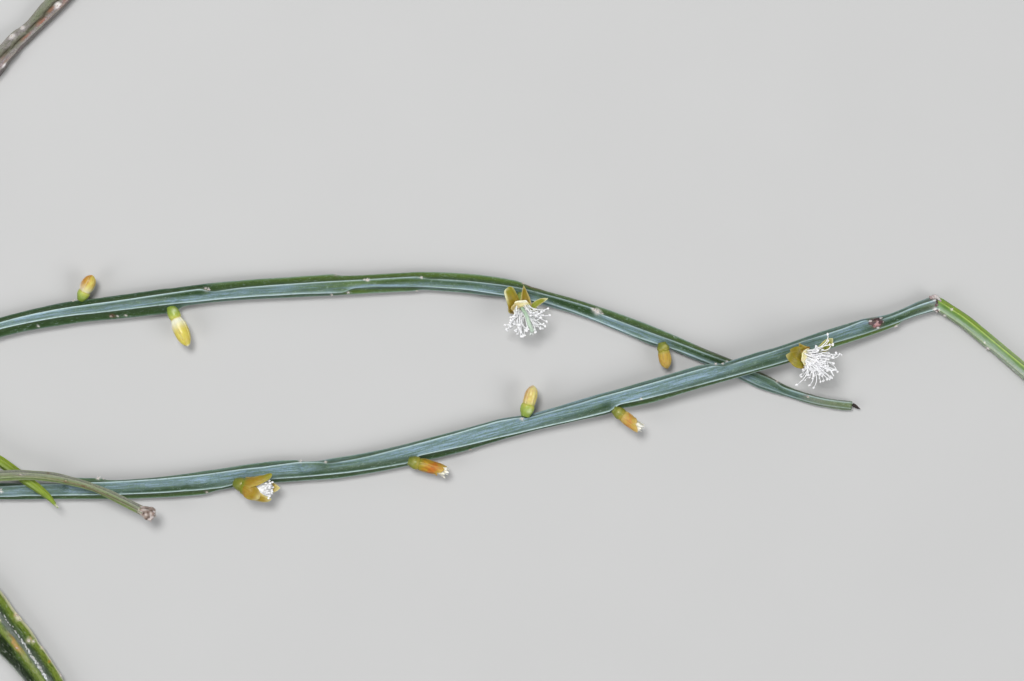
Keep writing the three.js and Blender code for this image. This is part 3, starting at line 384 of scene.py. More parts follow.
class Stem:
    """A ribbed stem. `path` rows [u, v, z]; `edge` rows [u, upper, lower] half widths in layout
    units; `ribs` rows [u, angle of rib 0..4] in degrees from the +side over the top; `lines`
    gives ribs 1 and 2 by their offset from the middle instead, so each steps at its areoles."""

    def __init__(self, **spec):
        self.spec = spec
        pts = np.array([at(*r) for r in spec["path"]])
        D = curve(pts, 60)
        total = np.linalg.norm(np.diff(D, axis=0), axis=1).sum()
        n = int(round(total / spec.get("pitch", 0.55))) + 1
        self.C, self.s, self.T = even(pts, n)
        self.S = unit(np.cross(UP, self.T))
        self.U = unit(np.cross(self.T, self.S))
        k = GRID * (1 - self.C[:, 2] / SIGHT)
        self.u = (self.C[:, 0] + ORIGIN_X) / k + MID_U
        self.vv = MID_V - (self.C[:, 1] + ORIGIN_Y) / k
        self.length = total
        sg = spec.get("soft", 1.1)
        hp = soften(look(spec["edge"], self.u, 1) * GRID, sg)
        hm = soften(look(spec["edge"], self.u, 2) * GRID, sg)
        self.hp, self.hm = hp, hm
        taper = np.ones(n)
        if "neck" in spec:
            taper *= spec["neck"][0] + (1 - spec["neck"][0]) * step(self.s, 0, spec["neck"][1])
        if "tip" in spec:
            q = np.clip(1 - (total - self.s) / spec["tip"][1], 0, 1)
            taper *= spec["tip"][0] + (1 - spec["tip"][0]) * np.sqrt(1 - q * q)
        self.taper = taper
        depth = spec.get("depth", 1.0)

        def reach(c):
            return (hm + (hp - hm) * (1 + c) / 2) * taper * (depth + (1 - depth) * np.abs(c))

        self.crest = np.zeros((n, 5, 2))
        for k in range(5):
            phi = np.radians(look(spec["ribs"], self.u, k + 1))
            rows = spec.get("lines", {}).get(k)
            if rows is not None:
                want = soften(look(rows, self.u) * GRID, sg * 1.4) * taper
                cs = np.linspace(-0.96, 0.96, 65)
                ws = np.stack([reach(np.full(n, c)) * c for c in cs], 1)
                phi = np.arccos([np.interp(want[i], ws[i], cs) for i in range(n)])
            c = np.cos(phi)
            r = reach(c) * self.rise(k)
            self.crest[:, k, 0] = c * r
            self.crest[:, k, 1] = np.sin(phi) * r
        self.shape()

    def rise(self, k):
        """A rib is low just past an areole and full before the next."""
        marks = sorted(self.spec.get("saw", [[]] * 5)[k])
        out = np.ones(len(self.u))
        if marks:
            last = np.full(len(self.u), -1e9)
            for a in marks:
                last = np.where(self.u >= a, a, last)
            t = np.clip((self.u - last) / 90, 0, 1)
            out = np.where(last > -1e8, 1 - self.spec.get("drop", 0.13) * (1 - t) ** 1.4, 1.0)
        return soften(out, 1.6)

    def shape(self):
        spec, n = self.spec, len(self.u)
        ring, attrs = [], {k: [] for k in ("rim", "bloom", "dark", "young", "brown", "scurf", "pale")}
        rim_rows = spec.get("rim", [[0, 0.3, 0.7, 0.7, 0.3, 0.2]])
        rim = [soften(look(rim_rows, self.u, k + 1), 3) for k in range(5)]
        if "rim_lines" in spec:
            for k, rows in spec["rim_lines"].items():
                rim[k] = soften(look(rows, self.u), 1.6)
        wid = spec.get("rim_width", 0.27)
        # tone rows set the bloom mask face by face: high on the upper faces, where it is partly a painted highlight,
        # and the low 'under' value on the faces beneath
        tone = spec["tone"]
        for face in (4, 0, 1, 2, 3):
            a, b = self.crest[:, face], self.crest[:, (face + 1) % 5]
            chord = b - a
            c = np.linalg.norm(chord, axis=1)
            nrm = np.stack([chord[:, 1], -chord[:, 0]], 1) / c[:, None]
            D = np.minimum(spec.get("sink", 0.42), 0.11 * c) * spec.get("hollow", [1] * 5)[face]
            bulge = spec.get("bulge", [0] * 5)[face]
            face_tone = tone.get(face)
            for t in ACROSS:
                d = min(t, 1 - t) * c
                low = D * (1 - np.exp(-(d / 0.55) ** 2)) - bulge * np.sin(np.pi * t) * c
                fold = spec.get("profile", {}).get(face)
                if fold is not None:
                    low = low - look(fold, t) * self.taper
                p = a + chord * t - nrm * low[:, None]
                ring.append(p)
                d0, d1 = t * c, (1 - t) * c
                # pale rib lines, partly real and partly a painted highlight along the crests
                lines = rim[face] * np.exp(-(d0 / wid) ** 2) + rim[(face + 1) % 5] * np.exp(-(d1 / wid) ** 2)
                attrs["rim"].append(np.clip(lines, 0, 1))
                if face_tone is None:
                    bloom = np.full(n, spec.get("under", 0.06))
                else:
                    rows = np.asarray(face_tone, float)
                    knots = np.linspace(0.1, 0.9, rows.shape[1] - 1) if rows.shape[1] > 2 else [0.5]
                    vals = np.stack([soften(np.interp(self.u, rows[:, 0], rows[:, j + 1]), 3) for j in range(rows.shape[1] - 1)], 1)
                    if vals.shape[1] == 1:
                        bloom = vals[:, 0]
                    else:
                        bloom = np.array([np.interp(t, knots, vals[i]) for i in range(n)])
                attrs["bloom"].append(np.clip(bloom, 0, 1.2))
                for k in ("dark", "young", "brown", "scurf", "pale"):
                    attrs[k].append(np.zeros(n))
        self.m = len(ring)
        self.ring = np.stack(ring, 1)                       # (n, m, 2)
        self.attrs = {k: np.stack(v, 1) for k, v in attrs.items()}
        # small natural unevenness of the surface
        flow = np.concatenate([np.repeat(self.s[:, None, None], self.m, 1), self.ring], 2).reshape(-1, 3)
        self.flow = flow
        seed = spec.get("seed", 1)
        bump = 0.055 * grain(flow * (0.16, 0.55, 0.55), seed) + 0.022 * grain(flow * (0.6, 1.9, 1.9), seed + 7)
        bump = bump * spec.get("rugged", 1.0)
        r = np.linalg.norm(self.ring, axis=2, keepdims=True)
        self.ring = self.ring * (1 + bump.reshape(n, self.m, 1) / np.maximum(r, 0.3))

    def seen(self):
        """Offsets across the stem in mm, as they look from above the middle of the layout."""
        lean = np.array([np.dot(at(a, b, 1.0) - at(a, b, 0.0), S) for a, b, S in zip(self.u, self.vv, self.S)])
        return self.ring[:, :, 0] - self.ring[:, :, 1] * lean[:, None]

    def patches(self, kind, rows, soft=0.8, top=True, rough=0.35, seed=3):
        """Paints mask `kind` between two offsets: rows [u, low, high, strength], offsets in layout units."""
        rows = np.asarray(rows, float)
        u = self.u
        inside = (u >= rows[0, 0]) & (u <= rows[-1, 0])
        lo, hi, st = (np.interp(u, rows[:, 0], rows[:, k]) for k in (1, 2, 3))
        w = self.seen() / GRID
        wob = grain(self.flow * (0.5, 1.4, 1.4), seed).reshape(w.shape) * rough / 0.35 * soft * 0.8
        m = step(w + wob, (lo - soft)[:, None], (lo + soft)[:, None] + 1e-6) * (1 - step(w + wob, (hi - soft)[:, None], (hi + soft)[:, None] + 1e-6))
        if top:
            m = m * (self.ring[:, :, 1] > -0.2)
        m = m * np.where(inside, st, 0)[:, None]
        m = np.stack([soften(m[:, j], 1.2) for j in range(self.m)], 1)
        if kind == "clean":
            for k in ("bloom",):
                self.attrs[k] = self.attrs[k] * (1 - m)
        else:
            self.attrs[kind] = np.clip(self.attrs[kind] + m, 0, 1)

    def spot(self, kind, u, v, size, strength=1.0, long=1.0, lift=0.0, seed=5):
        """A small round mark at a layout position, `size` in mm; lift raises the skin there."""
        i, w, _ = self.find(u, v)
        ds = (self.s - self.s[i])[:, None] / (size * long)
        dw = (self.ring[:, :, 0] - w) / size
        wob = 1 + 0.35 * grain(self.flow * 2.2, seed).reshape(dw.shape)
        m = np.exp(-((ds ** 2 + dw ** 2) * wob) ** 1.5) * (self.ring[:, :, 1] > 0) * strength
        self.attrs[kind] = np.clip(self.attrs[kind] + m, 0, 1)
        if lift:
            r = np.linalg.norm(self.ring, axis=2, keepdims=True)
            self.ring = self.ring * (1 + lift * m[:, :, None] / np.maximum(r, 0.3))

    def find(self, u, v):
        """Station, offset in mm and height above the middle of the point seen at (u, v)."""
        i = int(np.argmin((self.u - u) ** 2 + (self.vv - v) ** 2))
        P = at(u, v, self.C[i, 2] + 1.5)
        w = float(np.dot(P - self.C[i], self.S[i]))
        top = self.ring[i][self.ring[i][:, 1] > -0.3]
        order = np.argsort(top[:, 0])
        y = float(np.interp(w, top[order, 0], top[order, 1]))
        w = float(np.clip(w, top[:, 0].min(), top[:, 0].max()))
        return i, w, y

    def on(self, u, v, sink=0.0):
        """Surface point seen at (u, v) with its outward direction and the stem's direction."""
        i, w, y = self.find(u, v)
        out = unit(np.array([w, y + 0.35 * self.hp[i]]))
        N = unit(self.S[i] * out[0] + self.U[i] * out[1])
        return self.C[i] + self.S[i] * (w - sink * out[0]) + self.U[i] * (y - sink * out[1]), N, self.T[i]

    def part(self, cap=None):
        n, m = len(self.u), self.m
        P = self.C[:, None, :] + self.S[:, None, :] * self.ring[:, :, :1] + self.U[:, None, :] * self.ring[:, :, 1:]
        a = {k: v.copy() for k, v in self.attrs.items()}
        flow = self.flow.reshape(n, m, 3)
        ends = self.spec.get("dome", [0.3, 0.3])
        rings, extra = [P], {k: [v] for k, v in a.items()}
        flows = [flow]
        # rounded or sunken end faces in three inner rings
        front, back = [], []
        for end, (i, sgn) in enumerate(((0, -1), (n - 1, 1))):
            mid = P[i].mean(0)
            for q in (0.8, 0.5, 0.2):
                lift = ends[end] * (1 - q ** 2) if ends[end] >= 0 else ends[end] * (1 - q ** 6)
                R = mid + (P[i] - mid) * q + sgn * self.T[i] * lift
                (front if end == 0 else back).append((R, q))
        face = self.spec.get("face", {})
        P_all, F_all = [], []
        A_all = {k: [] for k in a}
        stack = [(R, q, 0) for R, q in reversed(front)] + [(P[i], 1.0, None) for i in range(n)] + [(R, q, 1) for R, q in back]
        for idx, (R, q, end) in enumerate(stack):
            P_all.append(R)
            j = min(max(idx - 3, 0), n - 1)
            F_all.append(flow[j] * (1, q, q))
            for k in a:
                val = a[k][j].copy()
                if end is not None:
                    val = val * 0 + face.get(end, {}).get(k, 0.0) * (1.0 if q < 0.75 else 0.7)
                A_all[k].append(val)
        N = len(stack)
        V = np.concatenate(P_all)
        V[:, 2] = np.maximum(V[:, 2], 0.0)
        c0, c1 = P_all[0].mean(0), P_all[-1].mean(0)
        V = np.vstack([V, c0, c1])
        V[:, 2] = np.maximum(V[:, 2], 0.0)
        at_ = {k: np.r_[np.concatenate(A_all[k]), A_all[k][0].mean(), A_all[k][-1].mean()] for k in A_all}
        fl = np.vstack([np.concatenate(F_all), F_all[0].mean(0), F_all[-1].mean(0)])
        return Part().add(V, tube_faces(N, m), flow=fl, **at_)


upper = Stem(
    seed=11, depth=0.92, neck=[0.36, 9], dome=[0.3, -0.25], pitch=0.5,
    path=[[-212, 471.5, 4.4], [-209.5, 466.5, 4.6], [-198, 455, 4.5], [-180, 438.5, 4.3], [-150, 412.5, 3.9], [-100, 372.5, 3.6], [-50, 344.5, 3.5],
          [0, 327.4, 3.5], [60, 314.3, 3.6], [120, 306, 3.6], [180, 297.8, 3.5], [240, 291.2, 3.4], [292, 287.3, 3.3],
          [340, 284.6, 3.3], [380, 283, 3.3], [420, 282, 3.2], [450, 282.6, 3.2], [480, 284.8, 3.1], [514, 289.4, 3.0],
          [551, 299, 2.8], [592, 312, 2.6], [640, 330, 2.5], [671, 341.5, 2.4], [702, 353.8, 2.2], [735, 367, 2.0],
          [762, 378.5, 1.9], [789, 390.6, 1.7], [816, 399.6, 1.6], [835, 403.6, 1.55], [851.7, 405.8, 1.55]],
    edge=[[-215, 10, 10], [-150, 10.6, 10.6], [0, 9.3, 9.6], [20, 9.6, 9.7], [60, 11.0, 11.0], [78, 11.2, 11.2], [86, 10.5, 11.4], [110, 10.6, 12.3],
          [165, 11.2, 14], [172, 10.6, 14.2], [182, 10.6, 8.6], [200, 11, 8.2], [240, 10.8, 8.8], [292, 10.4, 10.2], [334, 11, 10.6],
          [341, 8.8, 10.2], [360, 8.3, 10.3], [414, 10, 9.2], [420, 10.2, 8], [480, 9.8, 9.8], [516, 9, 9], [529, 6.6, 8.6], [551, 6.6, 7.8],
          [592, 7.4, 7.4], [640, 8.2, 9.4], [656, 7.6, 10.2], [671, 7.0, 7.4], [702, 5.8, 8.0], [735, 5.8, 9], [762, 5.2, 10.2],
          [776, 4.2, 8.6], [789, 3.6, 6.4], [802, 3.4, 6], [816, 3.9, 6], [829, 3.9, 5.4], [845, 4.8, 5.4], [851.7, 4.6, 4.2]],
    ribs=[[-200, 0, 52, 100, 178, 262], [0, 0, 60, 101, 182, 268], [420, -2, 78, 142, 184, 270], [852, 0, 60, 122, 182, 268]],
    lines={1: [[-210, 3.5], [-60, 5], [-50, 3.2], [0, 4.3], [40, 5], [80, 5], [140, 5.4], [203, 6.1], [213, 2.2], [240, 3], [300, 3.1], [360, 3.6],
               [400, 4.6], [419, 5.2], [430, 3.1], [460, 2.5], [500, 2], [540, 2.6], [592, 3.8], [600, 0.6], [660, 1], [700, 1.5],
               [740, 2.4], [773, 3.2], [781, 0.8], [800, 2], [840, 3.2]],
           2: [[-210, -1.5], [0, -1.9], [20, -2.4], [60, -3], [100, -4], [140, -4.6], [200, -6], [240, -6.4], [300, -7.3], [343, -8.4], [354, -4.6],
               [380, -4], [420, -5], [460, -6], [500, -7.6], [530, -7.2], [545, -5.6], [580, -6.2], [640, -8], [660, -7.4], [680, -6], [720, -6],
               [762, -8], [780, -5.6], [800, -4.6], [840, -3]]},
    rim_lines={1: [[-210, 0.5], [0, 0.8], [60, 1], [200, 0.9], [205, 0.75], [208, 0.05], [214, 0.1], [228, 0.6], [260, 0.85], [320, 0.8], [360, 0.6], [416, 0.6], [421, 0.4], [424, 0.05], [431, 0.1], [444, 0.5], [480, 0.5], [590, 0.6], [596, 0.1], [600, 0.3], [604, 0.95], [620, 0.55],
                   [700, 0.5], [720, 0.3], [760, 0.25], [800, 0.6], [840, 0.5]],
               2: [[-210, 0.5], [20, 1], [60, 1], [100, 0.8], [180, 0.75], [240, 0.9], [300, 0.75], [334, 0.65], [346, 0.25], [410, 0.15], [424, 0.4], [440, 0.6], [500, 0.75],
                   [560, 0.55], [600, 0.78], [640, 0.75], [680, 0.55], [760, 0.35], [840, 0.3]],
               0: [[-210, 0.15], [200, 0.2], [230, 0.32], [336, 0.4], [345, 0.25], [420, 0.3], [520, 0.4], [600, 0.35], [680, 0.45], [800, 0.4]],
               3: [[-210, 0.15], [160, 0.2], [300, 0.35], [345, 0.3], [420, 0.5], [600, 0.6], [680, 0.5], [800, 0.35]]},
    saw=[[], [-60, 206, 421, 596, 776], [-20, 348, 540], [], [20, 280, 540]],
    tone={0: [[-210, 0.08, 0.04, 0.02], [0, 0.12, 0.04, 0.02], [215, 0.1, 0.0, 0.08], [520, 0.1, 0.02, 0.12], [600, 0.12, 0.02, 0.15], [850, 0.1, 0.05, 0.1]],
          1: [[-210, 0.7, 0.6, 0.6, 0.5], [0, 0.95, 0.75, 0.6, 0.5], [20, 1.0, 0.8, 0.5, 0.45], [60, 1.0, 0.85, 0.65, 0.3], [80, 0.5, 0.5, 0.75, 0.35],
              [100, 0.4, 0.35, 0.7, 0.4], [120, 0.4, 0.35, 0.8, 0.6], [160, 0.25, 0.25, 0.75, 0.5], [180, 0.06, 0.15, 0.9, 0.7], [203, 0.1, 0.15, 0.85, 0.75],
              [214, 0.65, 0.75, 0.85, 0.6], [240, 0.7, 0.7, 0.85, 0.6], [260, 0.7, 0.55, 0.75, 0.5], [280, 0.6, 0.6, 0.6, 0.35], [300, 0.5, 0.65, 0.2, 0.42],
              [320, 0.42, 0.55, 0.2, 0.32], [340, 0.34, 0.36, 0.32, 0.5], [360, 0.5, 0.3, 0.5, 0.85], [380, 0.4, 0.12, 0.45, 0.95], [400, 0.35, 0.08, 0.45, 0.95],
              [420, 0.35, 0.25, 0.4, 0.6], [440, 0.34, 0.2, 0.46, 0.6], [460, 0.36, 0.12, 0.5, 0.6], [500, 0.35, 0.5, 0.85, 0.85], [540, 0.3, 0.2, 0.5, 0.75],
              [560, 0.25, 0.02, 0.2, 0.7], [590, 0.25, 0.0, 0.1, 0.7], [600, 0.85, 0.65, 0.65, 0.85], [640, 0.65, 0.75, 0.5, 0.4], [660, 0.55, 0.8, 0.75, 0.7],
              [680, 0.3, 0.1, 0.2, 0.7], [700, 0.25, 0.08, 0.25, 0.75], [720, 0.1, 0.02, 0.3, 0.8], [740, 0.3, 0.3, 0.6, 0.8], [760, 0.1, 0.45, 0.5, 0.45],
              [780, 0.35, 0.2, 0.5, 0.7], [800, 0.6, 0.35, 0.55, 0.6], [820, 0.4, 0.3, 0.35, 0.35], [850, 0.2, 0.15, 0.15, 0.2]],
          2: [[-210, 0.08, 0.04, 0.04], [160, 0.05, 0.02, 0.03], [182, 0.5, 0.4, 0.3], [300, 0.4, 0.25, 0.2], [345, 0.4, 0.2, 0.1], [352, 0.5, 0.08, 0.1],
              [416, 0.5, 0.08, 0.1], [424, 0.5, 0.4, 0.2], [500, 0.6, 0.5, 0.3], [600, 0.8, 0.7, 0.4], [700, 0.6, 0.5, 0.3], [850, 0.2, 0.15, 0.1]]},
)
upper.patches("young", [[286, -1, 4, 0.0], [304, -1.5, 4.2, 0.3], [330, -2, 4.4, 0.5], [350, -2.4, 4.4, 0.6], [372, -0.6, 4.4, 0.6], [400, -0.4, 3.6, 0.7], [425, 0.4, 3.4, 0.4], [450, 0.8, 3.4, 0.0]], soft=0.9, rough=0.6, seed=71)
upper.patches("young", [[330, -9, -4.6, 0.0], [345, -9.5, -4.6, 0.5], [360, -9, -4.6, 0.35], [372, -9, -5, 0.0]], soft=0.7, seed=72)
upper.patches("young", [[214, 5.5, 12, 0.25], [300, 5.5, 12, 0.75], [440, 5.5, 12, 0.8], [522, 5, 12, 0.75], [600, 4, 9, 0.35], [700, 3, 9, 0.3]], soft=1.2)
upper.patches("young", [[345, -11, -6.5, 0.2], [360, -11, -6, 0.45], [416, -11, -7, 0.4], [420, -11, -7, 0.0]], soft=1.2)
upper.patches("young", [[800, -8, 8, 0.0], [830, -8, 8, 0.65], [852, -8, 8, 0.8]], soft=1.2)
# painted shade: these patches lay deep green into the valleys beside the ribs and along both flanks
upper.patches("dark", [[124, 3.4, 4.4, 0.35], [160, 1.6, 4.6, 0.7], [203, 0.2, 5.2, 0.95], [208, 0.2, 5, 0.0]], soft=0.7)
upper.patches("dark", [[372, -1.2, 2.0, 0.2], [385, -1.4, 2.2, 0.65], [405, -0.6, 2.8, 0.7], [420, -1, 2, 0.3], [460, -1.2, 0.9, 0.5], [490, -1.2, 0.6, 0.2]], soft=0.7)
upper.patches("dark", [[540, -1.5, 1.4, 0.5], [560, -3, 1.6, 0.95], [592, -4.4, 2, 1.0], [597, -4.4, 2, 0.0]], soft=0.7)
upper.patches("dark", [[672, -3.4, -0.4, 0.6], [700, -3.4, 0, 0.85], [722, -2.4, 1, 1.0], [745, -2, 1, 0.4], [770, -1, 2.4, 0.4]], soft=0.7)
upper.patches("dark", [[-210, -12, -2.8, 0.5], [60, -12, -4, 0.62], [165, -15, -6, 0.6], [176, -15, -6.6, 0.0]], soft=0.7)
upper.patches("dark", [[-210, 5.2, 12, 0.4], [60, 6.4, 12, 0.75], [205, 7.2, 12, 0.7], [216, 4, 8, 0.45], [440, 5, 8, 0.1]], soft=0.7)
upper.patches("brown", [[523, 6.2, 8.2, 0.75], [532, 5.2, 7.8, 0.7], [544, 5.2, 7.6, 0.25], [600, 6.4, 8.6, 0.1]], soft=0.5)
upper.patches("scurf", [[800, -7, 6, 0.1], [816, -7, 6, 0.45], [836, -7, 6, 0.35], [852, -7, 6, 0.2]], soft=0.8)
upper.patches("brown", [[690, 4.6, 7.6, 0.1], [700, 4.0, 7.4, 0.35], [728, 4, 7, 0.3], [776, 3, 6, 0.35], [812, 2.6, 6, 0.3]], soft=0.6)
for u, v, size, kind in ((112, 315.6, 0.62, "brown"), (117.7, 316, 0.26, "pale"), (125.5, 315.4, 0.3, "pale"), (38.5, 326, 0.28, "pale"),
                         (368, 280, 0.4, "pale"), (421, 277.5, 0.3, "pale"), (597, 311.3, 0.85, "pale"), (593.5, 309.3, 0.4, "pale"), (206.5, 290, 0.6, "scurf"),
                         (331.6, 294.6, 0.3, "pale"), (348, 292.4, 0.3, "pale"), (336, 275, 0.5, "scurf"), (523, 283, 0.5, "scurf"),
                         (776, 381, 0.5, "scurf"), (807, 396, 0.45, "scurf"), (727, 361.6, 0.35, "pale")):
    upper.spot(kind, u, v, size, 0.85, 1.3, 0.04)

# painted shade in a valley below the middle
upper.patches("dark", [[768, -3.4, -0.6, 0.3], [784, -4.4, -1.4, 0.8], [796, -4.6, -1.6, 0.7], [812, -3.6, -1.0, 0.3]], soft=0.7)
upper.patches("scurf", [[800, 4.2, 8, 0.3], [826, 3.4, 8, 0.5], [853, 3.0, 8, 0.5]], soft=0.7)

lower = Stem(
    seed=23, depth=0.9, neck=[0.34, 9], dome=[0.3, -0.2], pitch=0.5,
    path=[[-209, 480.6, 4.1], [-204, 480.8, 4.1], [-190, 481.6, 4.0], [-170, 483.6, 3.7], [-135, 488, 3.3], [-100, 491, 3.1], [-50, 492.3, 3.0], [0, 491.4, 3.0],
          [54, 490.4, 3.0], [108, 489.3, 3.0], [160, 486.8, 3.0], [206, 481.8, 3.0], [257, 474.2, 3.0], [303, 470.5, 3.0],
          [336, 467, 3.0], [371, 461.6, 3.0], [402, 455.4, 3.05], [432, 448.2, 3.1], [460, 441, 3.2], [506, 428.4, 3.5],
          [555, 415.4, 4.2], [600, 404.4, 5.1], [651, 390.8, 6.3], [702, 376.4, 7.5], [735, 367.8, 7.9], [760, 361.2, 7.9],
          [780, 355.6, 7.7], [826, 341, 6.6], [866, 328, 5.2], [889, 320, 4.4], [912, 310.8, 3.7], [936, 303.2, 3.1]],
    edge=[[-215, 9, 9], [-130, 9.5, 9.5], [0, 8.2, 8.2], [38, 7.2, 8.6], [64, 7.2, 8.8], [72, 12.6, 9], [99, 11.6, 9.6], [108, 9.2, 9.9], [119, 8.8, 10.2],
          [160, 10, 10.8], [204, 10.9, 12.6], [214, 10.9, 10.4], [235, 10.8, 9.4], [257, 11, 9.8], [282, 11.8, 10.2], [299, 11.2, 10.4],
          [304, 8.8, 10.4], [320, 8.2, 11.2], [336, 9.3, 11.6], [371, 9.7, 11.4], [402, 10.3, 11.6], [410, 10.4, 11.6], [416, 10.5, 9.6],
          [432, 10.8, 10.8], [460, 11.2, 11.2], [506, 10.8, 9.6], [526, 8.4, 9.6], [535, 7.4, 9.8], [560, 8.2, 10.4], [600, 10.4, 11.2], [612, 10.4, 11], [618, 10.4, 9],
          [629, 10.6, 10.6], [651, 10.9, 12], [702, 11.6, 10.8], [715, 9.6, 10.6], [722, 7.4, 10.4], [760, 9.4, 9.4], [780, 9, 9.4],
          [804, 10, 9.2], [826, 10.4, 8.6], [866, 9.8, 8.8], [880, 7.4, 8.4], [889, 5.6, 8.2], [896, 5.2, 8.6], [899, 5.2, 6.0], [907, 5.4, 6.4], [918, 6.8, 6.8], [936, 7.8, 7.4]],
    ribs=[[-200, 4, 60, 122, 184, 268], [936, 4, 56, 116, 184, 270]],
    lines={1: [[-204, 4.5], [-42, 6.4], [-30, 4], [2, 5.5], [42, 6.4], [62, 6.6], [72, 7.7], [102, 7.5], [142, 8], [182, 8.3], [222, 7.5], [262, 6.6], [298, 8.8],
               [322, 7.2], [330, 5.2], [362, 5.8], [402, 7.4], [442, 8.3], [500, 9.2], [520, 7.2], [530, 5.0], [560, 5.4], [602, 7.2], [622, 7.2], [702, 7.6],
               [716, 7.4], [726, 4.6], [762, 6], [802, 6.8], [842, 6.6], [862, 8], [868, 8], [876, 3.6], [902, 2.4], [922, 3.4], [936, 3.6]],
           2: [[-204, -4], [2, -5], [82, -5], [142, -5.1], [182, -6], [204, -7.2], [222, -7.8], [236, -6.2], [282, -6], [322, -6.2], [382, -7.6], [409, -8.7], [418, -4.2],
               [442, -5], [502, -7], [562, -9], [608, -9.2], [618, -5.2], [642, -6.5], [702, -7.6], [762, -7], [800, -7.2], [812, -4], [862, -5], [902, -5.5], [936, -6]]},
    rim_lines={1: [[-204, 0.5], [2, 0.3], [42, 0.6], [62, 0.6], [102, 0.8], [142, 0.9], [222, 0.8], [302, 0.9], [318, 0.7], [325, 0.15], [333, 0.2], [342, 0.45], [402, 0.75], [442, 0.95],
                   [502, 0.95], [518, 0.8], [524, 0.1], [533, 0.15], [546, 0.6], [582, 0.5], [622, 0.9], [662, 0.85], [702, 0.8], [716, 0.6], [721, 0.05], [729, 0.15], [742, 0.6], [802, 0.55], [860, 0.75], [867, 0.4], [870, 0.05], [878, 0.1], [888, 0.4],
                   [902, 0.6], [936, 1]],
               2: [[-204, 0.5], [2, 0.6], [82, 0.9], [142, 0.95], [182, 0.9], [222, 0.7], [262, 0.6], [322, 1], [342, 1], [402, 0.7], [442, 0.85], [542, 1], [602, 1],
                   [622, 0.8], [642, 0.95], [682, 0.45], [722, 0.9], [762, 0.6], [782, 0.75], [862, 0.55], [882, 0.4], [922, 0.8]],
               0: [[-204, 0.15], [40, 0.2], [72, 0.3], [160, 0.3], [300, 0.45], [520, 0.4], [600, 0.4], [720, 0.4], [936, 0.4]],
               3: [[-204, 0.15], [60, 0.3], [206, 0.5], [410, 0.55], [440, 0.35], [600, 0.4], [640, 0.45], [700, 0.6], [900, 0.6]]},
    saw=[[], [-40, 325, 526, 722, 868], [20, 411, 613, 806], [], [-100, 250, 470, 700]],
    tone={0: [[-204, 0.2, 0.15, 0.1], [60, 0.25, 0.1, 0.1], [140, 0.35, 0.25, 0.2], [300, 0.4, 0.25, 0.2], [402, 0.35, 0.25, 0.2], [460, 0.6, 0.4, 0.3],
              [520, 0.6, 0.5, 0.3], [545, 0.8, 0.65, 0.35], [590, 0.75, 0.6, 0.35], [640, 0.55, 0.4, 0.3], [740, 0.45, 0.35, 0.2], [860, 0.5, 0.35, 0.2], [936, 0.4, 0.3, 0.2]],
          1: [[-204, 0.6, 0.6, 0.5, 0.4], [2, 0.45, 0.5, 0.6, 0.5], [62, 0.5, 0.6, 0.65, 0.45], [102, 0.5, 0.6, 0.75, 0.3], [122, 0.65, 0.75, 0.5, 0.2],
              [142, 0.65, 0.75, 0.5, 0.2], [162, 0.7, 0.8, 0.5, 0.05], [182, 0.65, 0.85, 0.45, 0.0], [202, 0.95, 0.95, 0.45, 0.2], [222, 0.85, 0.9, 0.6, 0.25],
              [262, 0.95, 0.95, 0.65, 0.7], [282, 0.8, 0.85, 0.5, 0.2], [302, 0.45, 0.85, 0.8, 0.25], [322, 0.25, 0.35, 0.3, 0.1], [342, 0.5, 0.4, 0.2, 0.2],
              [362, 0.65, 0.5, 0.15, 0.15], [382, 0.8, 0.75, 0.3, 0.12], [402, 0.85, 0.95, 0.35, 0.12], [410, 0.9, 0.95, 0.5, 0.3], [422, 0.85, 0.9, 0.85, 0.8],
              [442, 0.85, 1, 0.95, 0.85], [482, 0.85, 1, 0.9, 0.65], [502, 0.9, 1, 1, 0.55], [522, 0.9, 0.95, 0.75, 0.45], [562, 0.85, 0.8, 0.5, 0.35],
              [582, 0.85, 0.75, 0.4, 0.25], [602, 1, 0.75, 0.15, 0.45], [610, 1, 0.85, 0.3, 0.5], [622, 1, 1, 1, 0.9], [642, 0.9, 0.85, 1, 0.65],
              [662, 0.85, 0.95, 0.9, 0.5], [702, 0.8, 0.8, 0.95, 0.3], [722, 0.5, 0.8, 0.85, 0.3], [742, 0.8, 0.5, 0.3, 0.3], [762, 0.7, 0.5, 0.15, 0.3],
              [782, 0.65, 0.3, 0.4, 0.45], [802, 0.6, 0.4, 0.45, 0.4], [842, 0.8, 0.7, 0.55, 0.5], [862, 0.75, 0.65, 0.7, 0.4], [882, 0.6, 0.3, 0.15, 0.3],
              [902, 0.8, 0.5, 0.1, 0.3], [922, 1, 0.5, 0.2, 0.4], [936, 0.9, 0.5, 0.25, 0.5]],
          2: [[-204, 0.1, 0.06, 0.05], [220, 0.1, 0.05, 0.08], [240, 0.3, 0.2, 0.1], [300, 0.2, 0.1, 0.05], [400, 0.3, 0.15, 0.1], [420, 0.25, 0.1, 0.05],
              [500, 0.15, 0.05, 0.03], [600, 0.3, 0.15, 0.1], [620, 0.12, 0.05, 0.03], [800, 0.2, 0.1, 0.05], [936, 0.2, 0.12, 0.1]]},
)
